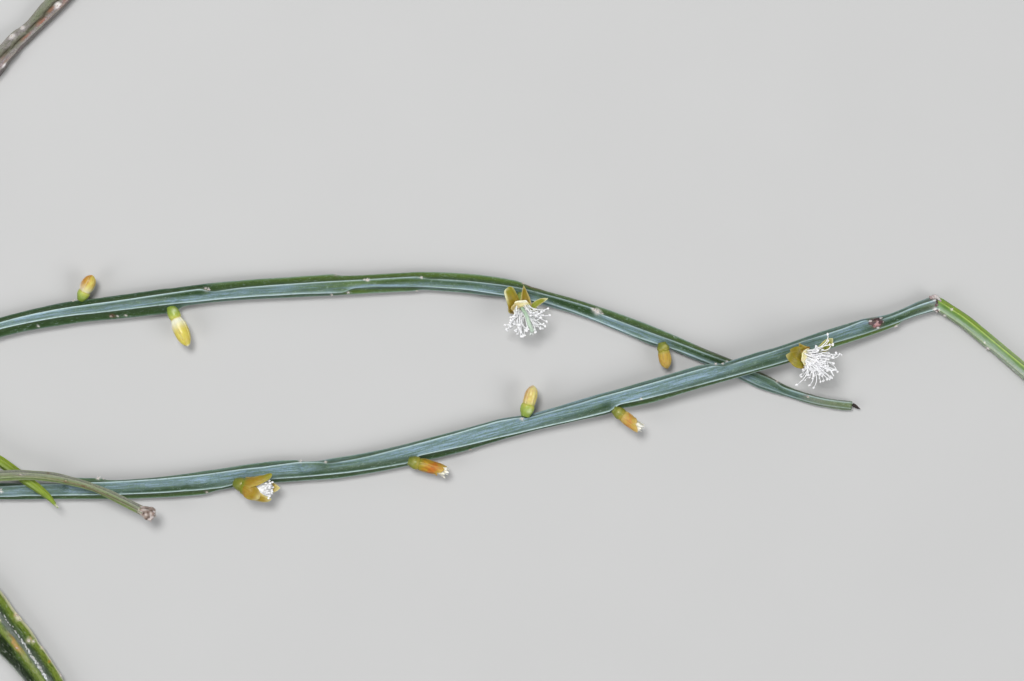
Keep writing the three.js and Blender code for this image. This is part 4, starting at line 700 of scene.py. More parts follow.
# painted shade: these patches lay deep green into the valleys beside the ribs and along both flanks
lower.patches("dark", [[108, -4.2, -1.8, 0.4], [150, -4.4, -1.4, 0.8], [187, -5, -1.6, 1.0], [206, -5.6, -2.4, 0.8], [224, -6.4, -3.4, 0.6], [236, -5, -3, 0.2]], soft=0.8)
lower.patches("dark", [[268, -5, -3, 0.2], [282, -5.2, -2.6, 0.6], [322, -5.2, -0.5, 0.75], [345, -6, -1.6, 0.9], [385, -6.8, -2.4, 0.9], [405, -7.4, -1.4, 0.8], [416, -6, -3, 0.1]], soft=0.8)
lower.patches("dark", [[316, 2.2, 5.2, 0.3], [326, 1.2, 5.0, 0.6], [345, 2, 4, 0.2]], soft=0.8)
lower.patches("dark", [[500, -6.4, -4.4, 0.4], [560, -8, -3.6, 0.6], [590, -8, -2.6, 0.8], [606, -8, -0.6, 0.95], [616, -4, -1.4, 0.2]], soft=0.8)
lower.patches("dark", [[655, -6, -3.4, 0.3], [700, -6.6, -3.6, 0.75], [745, -6, -2.2, 0.8], [768, -6, -0.8, 0.9], [790, -5, -2.6, 0.5], [850, -3.4, -1.6, 0.4],
                       [880, -3.6, 0.2, 0.9], [905, -4.4, -1.2, 0.95], [930, -4, -0.4, 0.85]], soft=0.8)
lower.patches("dark", [[722, 5.4, 9, 0.3], [742, 5.4, 9, 0.35], [780, 7.6, 10, 0.3], [860, 8.6, 11, 0.25]], soft=0.8)
lower.patches("dark", [[-204, -12, -5.4, 0.4], [60, -12, -6, 0.35], [204, -14, -8, 0.35], [330, -13, -7.6, 0.4], [410, -13, -9, 0.3], [424, -12, -5.6, 0.65], [520, -12, -8, 0.7],
                       [606, -12, -9.6, 0.5], [622, -12, -6.6, 0.5], [760, -12, -8, 0.3], [930, -10, -7, 0.2]], soft=0.7)
lower.patches("young", [[60, -12, -6.4, 0.45], [204, -14, -8.2, 0.5], [230, -12, -9, 0.1], [620, -12, -6.8, 0.2], [660, -14, -8, 0.5], [708, -13, -8.6, 0.5], [740, -12, -8, 0.15],
                        [826, -12, -5.2, 0.5], [860, -12, -6, 0.75], [896, -10, -6.2, 0.75], [900, -9, -6.4, 0.5], [934, -9, -7, 0.4]], soft=1.0)
lower.patches("young", [[70, 8.4, 14, 0.25], [100, 8.6, 13, 0.3], [250, 8.6, 12, 0.25], [300, 9.2, 12, 0.3], [500, 9.6, 12, 0.25], [860, 8.6, 11, 0.25]], soft=1.0)
lower.patches("young", [[885, -1.2, 0.8, 0.1], [905, -1.8, 1.2, 0.5], [932, -1.8, 1.2, 0.6]], soft=0.8)
lower.patches("young", [[780, -14, -6.4, 0.2], [815, -14, -4.6, 0.9], [893, -14, -5.2, 1.0], [898, -14, -6.4, 0.0]], soft=0.5, seed=35)
lower.patches("young", [[838, -9, -6.0, 0.2], [860, -9, -6, 0.7], [895, -9, -6.2, 0.7], [898, -9, -7, 0]], soft=0.5, seed=36)
lower.patches("dark", [[884, -1.6, 2.4, 0.1], [892, -2.6, 2.0, 0.5], [906, -3.0, 0.6, 0.5], [922, -2.4, 0.2, 0.4], [932, -1, 1, 0.1]], soft=0.9, rough=0.8, seed=37)
lower.patches("scurf", [[905, -6, 8, 0.0], [926, -6, 8, 0.2], [936, -8, 9, 0.5]], soft=0.8)
for u, v, size, kind in ((187, 486, 0.7, "dark"), (99, 477.3, 0.45, "pale"), (104.5, 478.2, 0.35, "scurf"), (206, 492, 0.5, "scurf"), (301, 461, 0.4, "pale"),
                         (325, 462, 0.35, "pale"), (522.7, 418.5, 0.45, "pale"), (716, 363.4, 0.33, "pale"), (723, 363.4, 0.33, "pale"),
                         (897, 326.4, 0.4, "pale"),
                         (938, 297.5, 0.8, "pale"), (935, 309.5, 0.5, "pale"), (470.5, 449.6, 0.5, "dark"), (2.5, 491.5, 0.4, "pale"), (641, 399, 0.3, "pale")):
    lower.spot(kind, u, v, size, 0.9, 1.15, 0.05)
lower.spot("brown", 875.5, 322.8, 1.75, 0.95, 1.0, -0.14)
lower.spot("dark", 871.8, 321.6, 0.7, 0.9, 1.0, -0.05)
lower.spot("dark", 878.8, 321.4, 0.7, 0.9, 1.0, -0.05)

terminal = Stem(
    seed=31, depth=0.95, neck=[0.88, 2.0], tip=[0.25, 6], dome=[0, 0.6], pitch=0.5,
    path=[[935.6, 301.9, 3.1], [950, 311, 2.9], [962, 319, 2.6], [992, 343.6, 2.2], [1024, 371, 2.0], [1060, 402.5, 1.9], [1092, 431, 1.8], [1119, 454.5, 1.75]],
    edge=[[935, 6.8, 6.8], [948, 6.4, 6.8], [989, 6.7, 7.2], [993, 6.7, 6.2], [1024, 6.9, 6.7], [1092, 6.8, 6.6], [1119, 6, 6]],
    ribs=[[935, 0, 64, 140, 184, 268], [1119, 0, 60, 140, 184, 268]],
    lines={1: [[935, 2.0], [951, 2.3], [990, 2.6], [1024, 3.0], [1062, 3.6], [1070, 1.6], [1119, 2.2]], 2: [[935, -5.2], [989, -5.6], [994, -4.8], [1119, -4.6]]},
    rim_lines={1: [[935, 0.35], [951, 0.75], [978, 0.85], [990, 1.0], [1024, 0.95], [1119, 0.8]], 2: [[935, 0.3], [985, 0.4], [1000, 0.3], [1119, 0.3]],
               0: [[935, 0.1], [970, 0.15], [1000, 0.4], [1119, 0.4]], 3: [[935, 0.2], [985, 0.3], [1119, 0.3]]},
    saw=[[], [948, 1064], [], [], []],
    tone={0: [[935, 0.15, 0.1], [990, 0.3, 0.15], [1119, 0.4, 0.3]],
          1: [[935, 0.05, 0.25, 0.8, 0.9], [960, 0.0, 0.25, 0.65, 0.85], [978, 0.1, 0.5, 0.85, 0.95], [990, 0.55, 0.7, 0.9, 1.05], [1010, 0.1, 0.4, 0.95, 1.1], [1119, 0.15, 0.45, 0.9, 1.0]],
          2: [[935, 0.6, 0.1], [978, 0.5, 0.1], [992, 1.0, 0.9], [1119, 1.1, 1.0]]},
)
terminal.patches("scurf", [[938, -7.4, -5.2, 0.7], [975, -7.6, -4.6, 0.7], [984, -7.6, -2.6, 0.6], [996, -7.8, -2.4, 0.85], [1024, -7.8, -1.8, 0.85], [1119, -7.4, -1.8, 0.8]], soft=0.8, seed=31)
terminal.patches("scurf", [[944, -4.4, -1.8, 0.2], [972, -4.0, -1.4, 0.35], [990, -2, 0.4, 0.3], [1119, -1.6, 0.2, 0.2]], soft=0.9, seed=32)
terminal.patches("young", [[936, 1.8, 5.2, 0.95], [978, 1.8, 5.2, 0.95], [986, 3.2, 7, 0.4], [1000, 3.2, 7, 0.5], [1119, 3.4, 7, 0.6]], soft=0.7)
terminal.patches("scurf", [[984, 3.4, 8, 0.0], [992, 3.2, 8, 0.3], [1119, 3.4, 8, 0.4]], soft=0.7, seed=33)
terminal.patches("dark", [[940, -1.2, 1.6, 0.55], [965, -1.6, 1.4, 0.5], [980, -1.2, 1.4, 0.3], [984, -1.6, 3.0, 0.6], [988, -1.2, 2.0, 0.2], [998, -0.4, 2.0, 0.35], [1119, -0.2, 2.2, 0.4]], soft=0.6)
terminal.patches("brown", [[942, 5.4, 7, 0.4], [958, 5.8, 7.4, 0.5], [974, 6.0, 7.4, 0.25], [984, 5.6, 7.4, 0.05]], soft=0.4)
for u, v, size, kind in ((938.5, 309.6, 0.3, "pale"), (945.2, 315.5, 0.32, "pale"), (951, 308.8, 0.34, "pale"), (988, 348.2, 0.45, "pale"),
                         (984, 342, 0.25, "pale"), (1012, 371, 0.22, "pale")):
    terminal.spot(kind, u, v, size, 0.85, 1.2, 0.06)

old = Stem(
    seed=41, depth=0.95, neck=[0.42, 9], tip=[0.35, 4], dome=[0.3, 0.5], pitch=0.5, rugged=2.4, sink=0.5, hollow=[0.6, 0.25, 0.6, 0.8, 0.8], rim_width=0.5,
    path=[[-217.2, 469.5, 5.4], [-216.5, 464.5, 5.6], [-217, 452, 4.6], [-216, 434, 3.4], [-209, 398, 2.6], [-196, 350, 2.3], [-172, 280, 2.25], [-138, 205, 2.25],
          [-94, 139, 2.25], [-49, 94, 2.2], [-3.3, 57.7, 2.2], [30.8, 25.1, 2.2], [54.5, 2.5, 2.2], [80.7, -24.3, 2.1], [103.7, -47.3, 2.0]],
    edge=[[-217, 8.2, 8.2], [-100, 8.6, 8.6], [-34, 8.2, 11], [-22, 7.8, 17.4], [-13, 7.4, 19.6], [-5, 7.0, 17.4], [0, 6.9, 14.6], [4, 7.0, 13.6], [9, 7.6, 13.5], [14, 8.1, 13.1],
          [19, 8.0, 13.0], [24, 6.0, 13.1], [30, 5.2, 12.9], [36, 5.8, 12.9], [45, 8.0, 12.4], [57, 8.9, 12.2], [104, 8.2, 10]],
    ribs=[[-217, -34, 32, 148, 212, 270], [104, -34, 32, 148, 212, 270]],
    profile={1: [[0, 0], [0.08, 0.14], [0.2, 0.34], [0.31, 0.2], [0.37, -0.35], [0.42, -0.75], [0.48, -0.35], [0.56, 0.2], [0.72, 0.34], [0.88, 0.14], [1, 0]]},
    saw=[[], [-130, 56], [-60, 12], [], []], drop=0.16,
    rim=[[-217, 0.3, 0.35, 0.35, 0.3, 0.2], [104, 0.35, 0.3, 0.3, 0.35, 0.2]],
    tone={0: [[-217, 0.5, 0.6, 0.4], [104, 0.5, 0.6, 0.4]], 1: [[-217, 0.5, 0.3, 0.15, 0.2, 0.5], [104, 0.5, 0.3, 0.1, 0.2, 0.5]], 2: [[-217, 0.5, 0.7, 0.5], [104, 0.5, 0.7, 0.5]]},
)
# painted shade along the groove
old.patches("dark", [[-217, -1.6, 0.6, 0.9], [-20, -1.6, 0.6, 0.9], [2, -2.4, 0.0, 0.95], [14, -4.0, -2.0, 0.95], [31, -3.0, -1.0, 0.95], [40, -3.4, -1.2, 0.95], [50, -1.8, 0.6, 0.95],
                      [57, -1, 1.2, 0.95], [104, -1.0, 1.2, 0.95]], soft=0.45)
old.patches("brown", [[-217, -3.6, -1.8, 0.0], [-60, -3.6, -1.8, 0.5], [-40, -3.6, -1.8, 0.0], [-14, -4.0, -2.4, 0.0], [-4, -5.0, -3.0, 0.5], [6, -5.4, -3.8, 0.0], [17, -6.2, -4.4, 0.0], [21, -6.4, -4.2, 0.65], [26, -6.0, -4.0, 0.7],
                      [29, -5.0, -3.4, 0.0], [33, -5.8, -3.4, 0.0], [36, -6.0, -3.2, 0.85], [41, -5.4, -3.0, 0.85], [44, -4.4, -2.6, 0.0], [46, -4.6, -2.2, 0.0], [48, -4.4, -2.0, 0.85], [51, -3.4, -1.4, 0.7], [54, -3, -1.4, 0.0],
                      [59, -5.4, -3.0, 0.0], [62, -5.8, -2.8, 0.9], [67, -5.4, -3.0, 0.6], [72, -5, -3, 0.0], [104, -4, -2.4, 0.4]], soft=0.6, rough=0.7)
old.patches("scurf", [[-217, 2.4, 7, 0.45], [0, 1.8, 7.5, 0.7], [10, 0.4, 8, 0.85], [28, 0.0, 7, 0.75], [34, 2.2, 6, 0.4], [48, 2.6, 9, 0.5], [104, 2.4, 9, 0.5]], soft=0.9, seed=8)
old.patches("scurf", [[-217, -22, -3.4, 0.5], [-14, -26, -3.4, 0.95], [0, -22, -4.2, 0.95], [12, -18, -5.6, 0.95], [30, -18, -5.2, 0.95], [42, -18, -4.2, 0.95], [56, -18, -3.0, 0.95], [104, -18, -4, 0.8]], soft=0.8, seed=9, top=False)
old.patches("brown", [[-20, -9.5, -7.0, 0.2], [-2, -9.2, -7.4, 0.35], [8, -9.6, -7.6, 0.0], [14, -10.0, -8.0, 0.3], [20, -9.6, -8.2, 0.0], [38, -8.8, -7.2, 0.0], [44, -8.2, -6.6, 0.35], [50, -8, -6.4, 0.0], [58, -8.6, -6.6, 0.3], [104, -8, -6, 0.2]], soft=0.7, rough=0.9, seed=61)
old.patches("young", [[-217, 5.2, 9, 0.4], [-6, 4, 8, 0.6], [6, 1.4, 6, 0.6], [12, 2, 5, 0.1], [32, 1.0, 4.4, 0.3], [38, 1.0, 5.4, 0.7], [46, 2.4, 6, 0.5], [54, 2.6, 9, 0.85], [104, 5.2, 9, 0.45]], soft=0.8)
old.patches("young", [[26, -8.6, -6.4, 0.2], [32, -8.6, -5.6, 0.7], [40, -8.2, -5.4, 0.7], [46, -6.6, -5, 0.1]], soft=0.6)
for u, v, size, kind in ((11.9, 36.4, 0.62, "pale"), (22.2, 27.6, 0.42, "pale"), (56.9, 6.2, 0.62, "pale"), (58.2, 4.8, 0.5, "pale"), (5.2, 66.5, 0.5, "pale")):
    old.spot(kind, u, v, size, 0.9, 1.5, 0.10)

withered = Stem(
    seed=51, depth=1, neck=[0.66, 6], dome=[0.2, 0.1], pitch=0.5, rugged=2.2, sink=0.45, hollow=[1.5, 1.2, 1.5, 1, 1], rim_width=0.24,
    path=[[-210.5, 479, 6.6], [-208, 477.8, 7.6], [-201, 474.5, 9.2], [-188, 469.5, 10.6], [-165, 465.5, 11.6], [-120, 466.5, 12.0], [-60, 472.5, 11.6], [-20, 475.6, 11.0], [0, 475.7, 10.6],
          [20, 474.8, 10.5], [50, 477, 10.4], [76, 482.3, 10.2], [95, 488.3, 10.0], [116, 497.5, 9.5], [140, 509.5, 8.8], [143, 511.2, 8.7]],
    edge=[[-208, 4.4, 4.4], [-180, 5, 5], [20, 5.3, 5.3], [76, 4.4, 4.3], [95, 3.9, 3.9], [140, 4.6, 4.6]],
    ribs=[[-208, -6, 58, 112, 180, 270], [60, -6, 62, 118, 184, 270], [140, -6, 66, 118, 184, 270]],
    rim=[[-208, 0.4, 0.45, 0.45, 0.4, 0.2], [140, 0.6, 0.6, 0.6, 0.5, 0.2]],
    tone={0: [[-208, 0.6, 0.7, 0.4], [60, 0.6, 0.7, 0.5], [100, 0.5, 0.6, 0.7], [140, 1.0, 1.0, 1.0]], 1: [[-208, 0.6, 0.4, 0.6], [60, 0.5, 0.3, 0.2], [140, 1.0, 0.3, 0.2]], 2: [[-208, 0.4, 0.7, 0.5], [140, 0.3, 0.3, 0.1]]},
)
withered.patches("young", [[-208, -2, 6, 0.2], [0, -4.4, -1.2, 0.5], [40, -4.4, -1.6, 0.45], [60, -3.6, 0.4, 0.35], [90, -1, 2.0, 0.4], [136, -0.6, 1.0, 0.2]], soft=0.7)
withered.patches("young", [[-208, -6, -2.6, 0.25], [60, -6, -2.6, 0.3], [90, -6, -2.2, 0.7], [140, -6, -2.0, 0.75]], soft=0.6)
withered.patches("scurf", [[-208, 0.4, 6, 0.3], [8, 1.2, 6, 0.35], [40, 0.6, 6, 0.5], [70, -0.6, 6, 0.5], [100, 0.4, 6, 0.4], [134, 0.4, 6, 0.4]], soft=1.2, rough=1.2, seed=44)
withered.patches("scurf", [[-208, -4, 5, 0.3], [12, 2.4, 6, 0.4], [18, -1, 5, 0.75], [25, -1, 5, 0.75], [32, 2.6, 6, 0.4], [66, 1.4, 5, 0.5], [90, 1.6, 5, 0.35], [120, 1.6, 5.4, 0.35], [132, 0.4, 5.4, 0.9], [143, -5, 6, 1.0]], soft=0.8)
withered.patches("brown", [[-208, -1.6, -0.4, 0.3], [0, -0.2, 0.8, 0.35], [40, -2.2, -1.0, 0.3], [60, -2.8, -1.0, 0.5], [84, -2.6, -0.8, 0.65], [100, -2.6, -0.9, 0.45], [140, -2.2, -0.8, 0.3]], soft=0.4)
withered.patches("dark", [[70, -2.8, -1.2, 0.1], [92, -2.7, -1.0, 0.75], [110, -2.2, -0.8, 0.9], [140, -2.0, -0.6, 0.85]], soft=0.35)
for u, v, size, kind in ((21, 474, 0.6, "scurf"), (66, 482, 0.35, "brown"), (84, 486.2, 0.4, "brown"), (48, 473.5, 0.3, "brown"), (14, 472, 0.4, "scurf")):
    withered.spot(kind, u, v, size, 0.8, 1.5, 0.05)

shoot = Stem(
    seed=61, depth=1, neck=[0.6, 4], dome=[0.2, 0.4], pitch=0.45, rugged=0.6, sink=0.28, rim_width=0.22,
    path=[[-104, 381, 4.6], [-98, 390, 5.2], [-84, 406, 5.8], [-55, 430.5, 6.3], [-25, 448.6, 6.5], [0, 461.4, 6.5], [12, 469.6, 6.6], [24, 478.4, 6.9],
          [37, 487.6, 7.3], [48, 496.6, 7.3], [57.5, 507.2, 7.0]],
    edge=[[-104, 5, 5], [-60, 5.6, 5.6], [0, 5.3, 5.3], [24, 5, 5], [37, 4.4, 4.4], [48, 3.2, 3.2], [57.5, 0.9, 0.9]],
    ribs=[[-104, 0, 60, 120, 180, 270], [57.5, 0, 60, 120, 180, 270]],
    rim=[[-104, 0.2, 0.45, 0.3, 0.2, 0.1], [57, 0.25, 0.6, 0.3, 0.2, 0.1]],
    tone={0: [[-104, 0.1, 0.1], [57, 0.15, 0.1]], 1: [[-104, 0.15, 0.1, 0.1], [57, 0.2, 0.1, 0.1]], 2: [[-104, 0.1, 0.1], [57, 0.1, 0.1]]},
)
shoot.patches("young", [[-104, -6, 6, 0.35], [57, -6, 6, 0.5]], soft=0.8, top=False)
shoot.patches("young", [[-104, 1.5, 6, 0.4], [57, 1.2, 6, 0.5]], soft=0.8)
# painted shade along the lower flank
shoot.patches("dark", [[-104, -6, -3, 0.4], [30, -6, -2.6, 0.5], [50, -4, -1.6, 0.3]], soft=0.8)
shoot.spot("pale", 56.2, 505.4, 0.6, 0.6)

parent = Stem(
    seed=71, depth=0.96, tip=[0.55, 3.5], dome=[-0.35, 0.6], pitch=0.3, rugged=4.4, sink=0.3, hollow=[0.3] * 5, bulge=[0.15, 0.15, 0.15, 0.05, 0.14], rim_width=0.5,
    path=[[-332, 507, 2.85], [-300, 500, 2.85], [-265, 490.5, 2.9], [-240, 484.6, 3.2], [-219, 481, 3.9], [-206, 480.4, 4.2]],
    edge=[[-332, 12.9, 12.9], [-322, 12.3, 12.2], [-300, 12.0, 11.6], [-292, 12.4, 12.4], [-286, 13.0, 12.4], [-278, 12.2, 11.6], [-256, 11.6, 11.8], [-244, 12.4, 12.8], [-232, 13.8, 14.0], [-219, 15.4, 15.4], [-206, 15.4, 15.4]],
    ribs=[[-332, 18, 92, 164, 234, 306], [-206, 16, 88, 160, 234, 306]],
    rim=[[-332, 0.12, 0.15, 0.12, 0.1, 0.1]],
    tone={k: [[-332, 0.5, 0.25, 0.6], [-300, 0.2, 0.5, 0.3], [-270, 0.6, 0.2, 0.4], [-240, 0.3, 0.6, 0.2], [-219, 0.4, 0.3, 0.5]] for k in range(5)},
    face={0: {"pale": 0.85}},
)
parent.patches("scurf", [[-332, -16, 16, 0.6], [-206, -16, 16, 0.5]], soft=1.0, top=False)
parent.patches("scurf", [[-332, 1, 6, 0.2], [-310, 2, 8, 0.7], [-285, -2, 5, 0.5], [-262, -4, 3, 0.8], [-240, -1, 6, 0.6], [-219, 0, 6, 0.4], [-206, -2, 7, 0.5]], soft=1.6, rough=1.6, seed=72)
parent.patches("dark", [[-332, -9, -4, 0.5], [-300, -8, -2, 0.4], [-270, -10, -5, 0.7], [-219, -9, -4, 0.5], [-206, -9, -3, 0.4]], soft=1.4, rough=1.6, seed=73)
parent.patches("dark", [[-290, -12, 12, 0.0], [-288.4, -12, 12, 0.7], [-286.8, -12, 12, 0.0]], soft=0.8, rough=1.0, seed=74)
parent.patches("young", [[-250, -16, 16, 0.0], [-236, -16, 16, 0.2], [-219, -16, 16, 0.45], [-206, -16, 16, 0.6]], soft=1.5, rough=1.2, seed=75)
for u, v, size in ((-318, 497.5, 0.5), (-306, 504.5, 0.6), (-295, 494.0, 0.45), (-281, 499.0, 0.55), (-272, 488.0, 0.5), (-262, 496.0, 0.45), (-251, 484.5, 0.55), (-243, 491.0, 0.4)):
    parent.spot("pale", u, v, 0.7 * size, 0.45, 2.2, 0.1)
parent.patches("brown", [[-240, -16, 16, 0.0], [-228, -16, 16, 0.35], [-219, -16, 16, 0.4], [-206, -16, 16, 0.3]], soft=1.0, top=False)

winged = Stem(
    seed=81, depth=0.52, neck=[0.36, 10], tip=[0.3, 9], dome=[0.3, 0.4], pitch=0.5, rugged=1.8, sink=0.3, hollow=[0.4, 0, 0.4, 1, 0.4], rim_width=0.34,
    path=[[-212.5, 491, 4.2], [-209, 495, 4.2], [-201, 506, 3.9], [-188, 518, 3.3], [-160, 533, 2.9], [-120, 544, 2.9], [-76, 556, 3.0], [-42, 576, 3.1], [-16, 602.4, 3.2], [0, 624.5, 3.2],
          [22, 651, 3.2], [44, 681, 3.2], [70, 724, 3.0], [94, 765, 2.7]],
    edge=[[-209, 9, 9], [-188, 11, 11], [-150, 15, 15], [-60, 18.5, 18.5], [-16, 20.4, 19.6], [14, 20.4, 19.9], [17, 19.8, 19.9], [19, 19.5, 18.9], [21, 19, 18.6], [24, 17.8, 18.7], [26, 18, 17.5], [30, 18.2, 17.5], [36, 17.8, 16.9],
          [44, 17.2, 16.9], [60, 15.8, 16.3], [94, 13.4, 14]],
    ribs=[[-209, 2, 63, 182, 238, 306], [0, 2, 63, 182, 238, 306], [94, 2, 63, 182, 238, 306]],
    profile={0: [[0, 0], [0.25, 0.25], [0.6, 0.35], [0.85, 0.3], [1, 0]],
             1: [[0, 0], [0.08, 0.05], [0.2, 0.42], [0.34, 0.3], [0.5, -0.62], [0.58, -0.6], [0.8, 0.02], [0.95, 0.05], [1, 0]]},
    rim=[[-209, 0.6, 0.9, 0.4, 0.2, 0.2], [94, 0.75, 1.0, 0.4, 0.2, 0.2]],
    rim_lines={1: [[-209, 0.12], [0, 0.06], [20, 0.05], [24, 0.12], [31, 0.1], [33, 0.05], [46, 0.12], [60, 0.1], [94, 0.12]],
               2: [[-209, 0.3], [0, 0.5], [15, 0.8], [18, 1.0], [40, 1.0], [60, 0.8], [94, 0.5]]},
    tone={0: [[-209, 0.0, 0.0, 0.1, 0.5], [94, 0.0, 0.0, 0.1, 0.5]], 1: [[-209, 0.6, 0.3, 0.05, 0.3, 0.5], [94, 0.6, 0.3, 0.05, 0.3, 0.5]]},
)
winged.patches("young", [[-209, 10.6, 19.5, 0.5], [-16, 11.6, 19.6, 0.8], [6, 13.0, 19.6, 1.0], [16, 12.6, 19.6, 0.8], [26, 11.0, 19.6, 0.95], [40, 10.6, 19.6, 0.95], [94, 10, 19, 0.9]], soft=1.5, seed=12)
winged.patches("dark", [[-209, 6.2, 11.2, 0.4], [0, 6.2, 10.6, 0.55], [24, 6.0, 10.6, 0.7], [40, 5.8, 10.0, 0.6], [94, 6.0, 10, 0.5]], soft=1.0, rough=0.9, seed=13)
winged.patches("scurf", [[-209, 6.4, 9.6, 0.2], [0, 6.4, 9.2, 0.3], [24, 6.2, 9.0, 0.3], [94, 6.2, 9.0, 0.25]], soft=0.8, rough=1.2, seed=63)
winged.patches("pale", [[-209, 17.8, 22, 0.3], [0, 17.8, 22, 0.5], [20, 17.4, 22, 0.5], [50, 16.2, 22, 0.45], [94, 14, 22, 0.3]], soft=0.45, rough=0.8, seed=14)
winged.patches("young", [[-209, -5.4, 1.2, 0.75], [0, -6.4, 1.6, 0.9], [24, -5, 1.4, 0.95], [44, -4.6, 1.4, 0.95], [94, -4.6, 0.6, 0.9]], soft=0.9, seed=15)
winged.patches("pale", [[-209, -3.0, 0.6, 0.1], [2, -3.4, 0.8, 0.05], [14, -3.6, 1.2, 0.2], [26, -3.2, 0.8, 0.22], [34, -3.0, 0.6, 0.1], [44, -3, 0, 0.12], [94, -2.6, 0, 0.1]], soft=1.0, rough=0.7, seed=16)
winged.patches("brown", [[6, -1.4, 2.0, 0.0], [11, -1.4, 2.0, 0.5], [17, -2.4, 1.6, 0.7], [22, -2.0, 0.6, 0.35], [30, -1.6, 0.4, 0.0]], soft=0.9, rough=1.1, seed=17)
winged.patches("scurf", [[-209, 1.6, 6.4, 0.7], [0, 2.2, 7.0, 0.95], [24, 1.4, 6.6, 1.0], [94, 1.0, 6.4, 0.9]], soft=0.9, rough=0.6, seed=18)
winged.patches("dark", [[-209, -24, -5.4, 0.85], [0, -24, -5.0, 0.9], [24, -24, -6.4, 0.9], [94, -24, -6.4, 0.9]], soft=0.9, seed=19)
winged.patches("dark", [[-209, -13, -7.0, 0.6], [0, -14, -8, 0.8], [94, -14, -7.6, 0.8]], soft=0.8, seed=20)
winged.patches("scurf", [[-209, -17.6, -15, 0.2], [0, -17, -14.4, 0.25], [22, -14, -12, 0.15], [94, -12, -10, 0.15]], soft=0.8, seed=21)
winged.patches("scurf", [[-209, -26, -19.2, 0.3], [0, -26, -19.0, 0.5], [16, -26, -18.6, 0.85], [22, -26, -16.8, 0.95], [28, -26, -14.8, 0.95], [36, -26, -14.0, 0.9], [60, -26, -14.6, 0.8], [94, -26, -12.8, 0.5]], soft=0.5, rough=1.0, seed=22)
for u, v, size, kind in ((17.6, 646.8, 0.75, "brown"), (14.6, 641.0, 0.4, "brown"), (16.4, 615.0, 0.75, "pale"), (18.2, 619.2, 0.65, "pale"), (20.2, 616.2, 0.5, "pale"),
                         (15.2, 614.6, 0.4, "brown"), (29.2, 640.6, 0.55, "pale"), (33.0, 641.4, 0.5, "pale"), (31, 639.4, 0.35, "brown"), (41.5, 648, 0.4, "pale"), (1.2, 619.8, 0.4, "pale"),
                         (49.4, 662, 0.3, "brown")):
    winged.spot(kind, u, v, size, 0.85, 1.2, 0.08)

STEMS = {
    "upper_stem": (upper, "glaucous", "glaucous_stem"), "lower_stem": (lower, "glaucous", "glaucous_stem"),
    "terminal_stem": (terminal, "fresh", "fresh_stem"), "old_branch": (old, "old", "old_stem"), "winged_branch": (winged, "winged", "winged_stem"),
    "withered_branch": (withered, "withered", "old_stem"), "young_shoot": (shoot, "shoot", "fresh_stem"), "parent_stem": (parent, "bark", "woody_stem"),
}
for node, (stem, mat, slot) in STEMS.items():
    build(node + "_skin", stem.part(), MAT[mat], slot, node)

# ------------------------------------------------------------------ more materials
def organ_material(name, base, deep, warm, pale, green, rough=0.38, specular=0.4, subsurface=0.25, depth=0.0012, stripe=0.5, mottle=0.5, bump=0.25, radius=(1.0, 0.7, 0.25), coat=0.0):
    """Petals, tepals and ovaries: masks warm, pale, green and deep on the vertices tint a veined skin.
    `flow` is (along, across, piece) in mm."""
    n = Nodes(name)
    flow, mm = n.attr("flow", True), n.object_mm()
    veins = n.noise(n.scale(flow, 0.32, 3.6, 1.0), 1.0, 3.0, 0.6)
    spots = n.noise(mm, 1.1, 3.0, 0.55)
    small = n.noise(mm, 5.5, 2.0, 0.5)
    color = n.mix(n.mul(n.span(spots, 0.35, 0.68), mottle), base, n.mix(0.55, base, warm))
    w = n.math("ADD", n.attr("warm"), n.mul(n.math("SUBTRACT", spots, 0.5), 0.9))
    w = n.math("ADD", w, n.mul(n.math("SUBTRACT", veins, 0.5), stripe))
    color = n.mix(n.mul(n.span(w, 0.1, 0.95), n.span(n.attr("warm"), 0.0, 0.15)), color, warm)
    color = n.mix(n.mul(n.attr("deep"), n.span(veins, 0.3, 0.7, 0.55, 1.0)), color, deep)
    color = n.mix(n.mul(n.attr("green"), n.span(spots, 0.25, 0.6, 0.7, 1.0), clamp=True), color, n.mix(n.span(small, 0.35, 0.65), green, tuple(0.72 * c for c in green)))
    color = n.mix(n.mul(n.attr("pale"), n.span(veins, 0.25, 0.6, 0.75, 1.0), clamp=True), color, pale)
    height = n.math("ADD", n.mul(veins, 1.0), n.mul(small, 0.35))
    r = n.span(small, 0.3, 0.7, rough - 0.05, rough + 0.08)
    return n.finish(color, r, n.bump(height, bump, 0.00010), specular=specular, subsurface=subsurface, radius=radius, depth=depth, coat=coat)


MAT["ovary"] = organ_material("ovary_skin", (0.290, 0.375, 0.062), (0.13, 0.20, 0.03), (0.46, 0.42, 0.08), (0.70, 0.76, 0.52), (0.165, 0.255, 0.034), rough=0.3, subsurface=0.15, stripe=0.3, bump=0.2)
MAT["ovary_dull"] = organ_material("ovary_dull_skin", (0.190, 0.200, 0.024), (0.10, 0.12, 0.014), (0.36, 0.27, 0.04), (0.55, 0.50, 0.18), (0.130, 0.165, 0.016), rough=0.34, subsurface=0.12, stripe=0.5, bump=0.3)
MAT["petal"] = organ_material("bud_petal_skin", (0.585, 0.495, 0.082), (0.28, 0.13, 0.02), (0.46, 0.215, 0.032), (0.84, 0.81, 0.62), (0.34, 0.40, 0.06), rough=0.32, subsurface=0.15, stripe=0.55)
MAT["petal_gold"] = organ_material("bud_petal_gold_skin", (0.400, 0.262, 0.020), (0.130, 0.046, 0.006), (0.440, 0.120, 0.008), (0.70, 0.56, 0.24), (0.22, 0.25, 0.022), rough=0.38, specular=0.2, subsurface=0.15, stripe=1.0, bump=0.4)
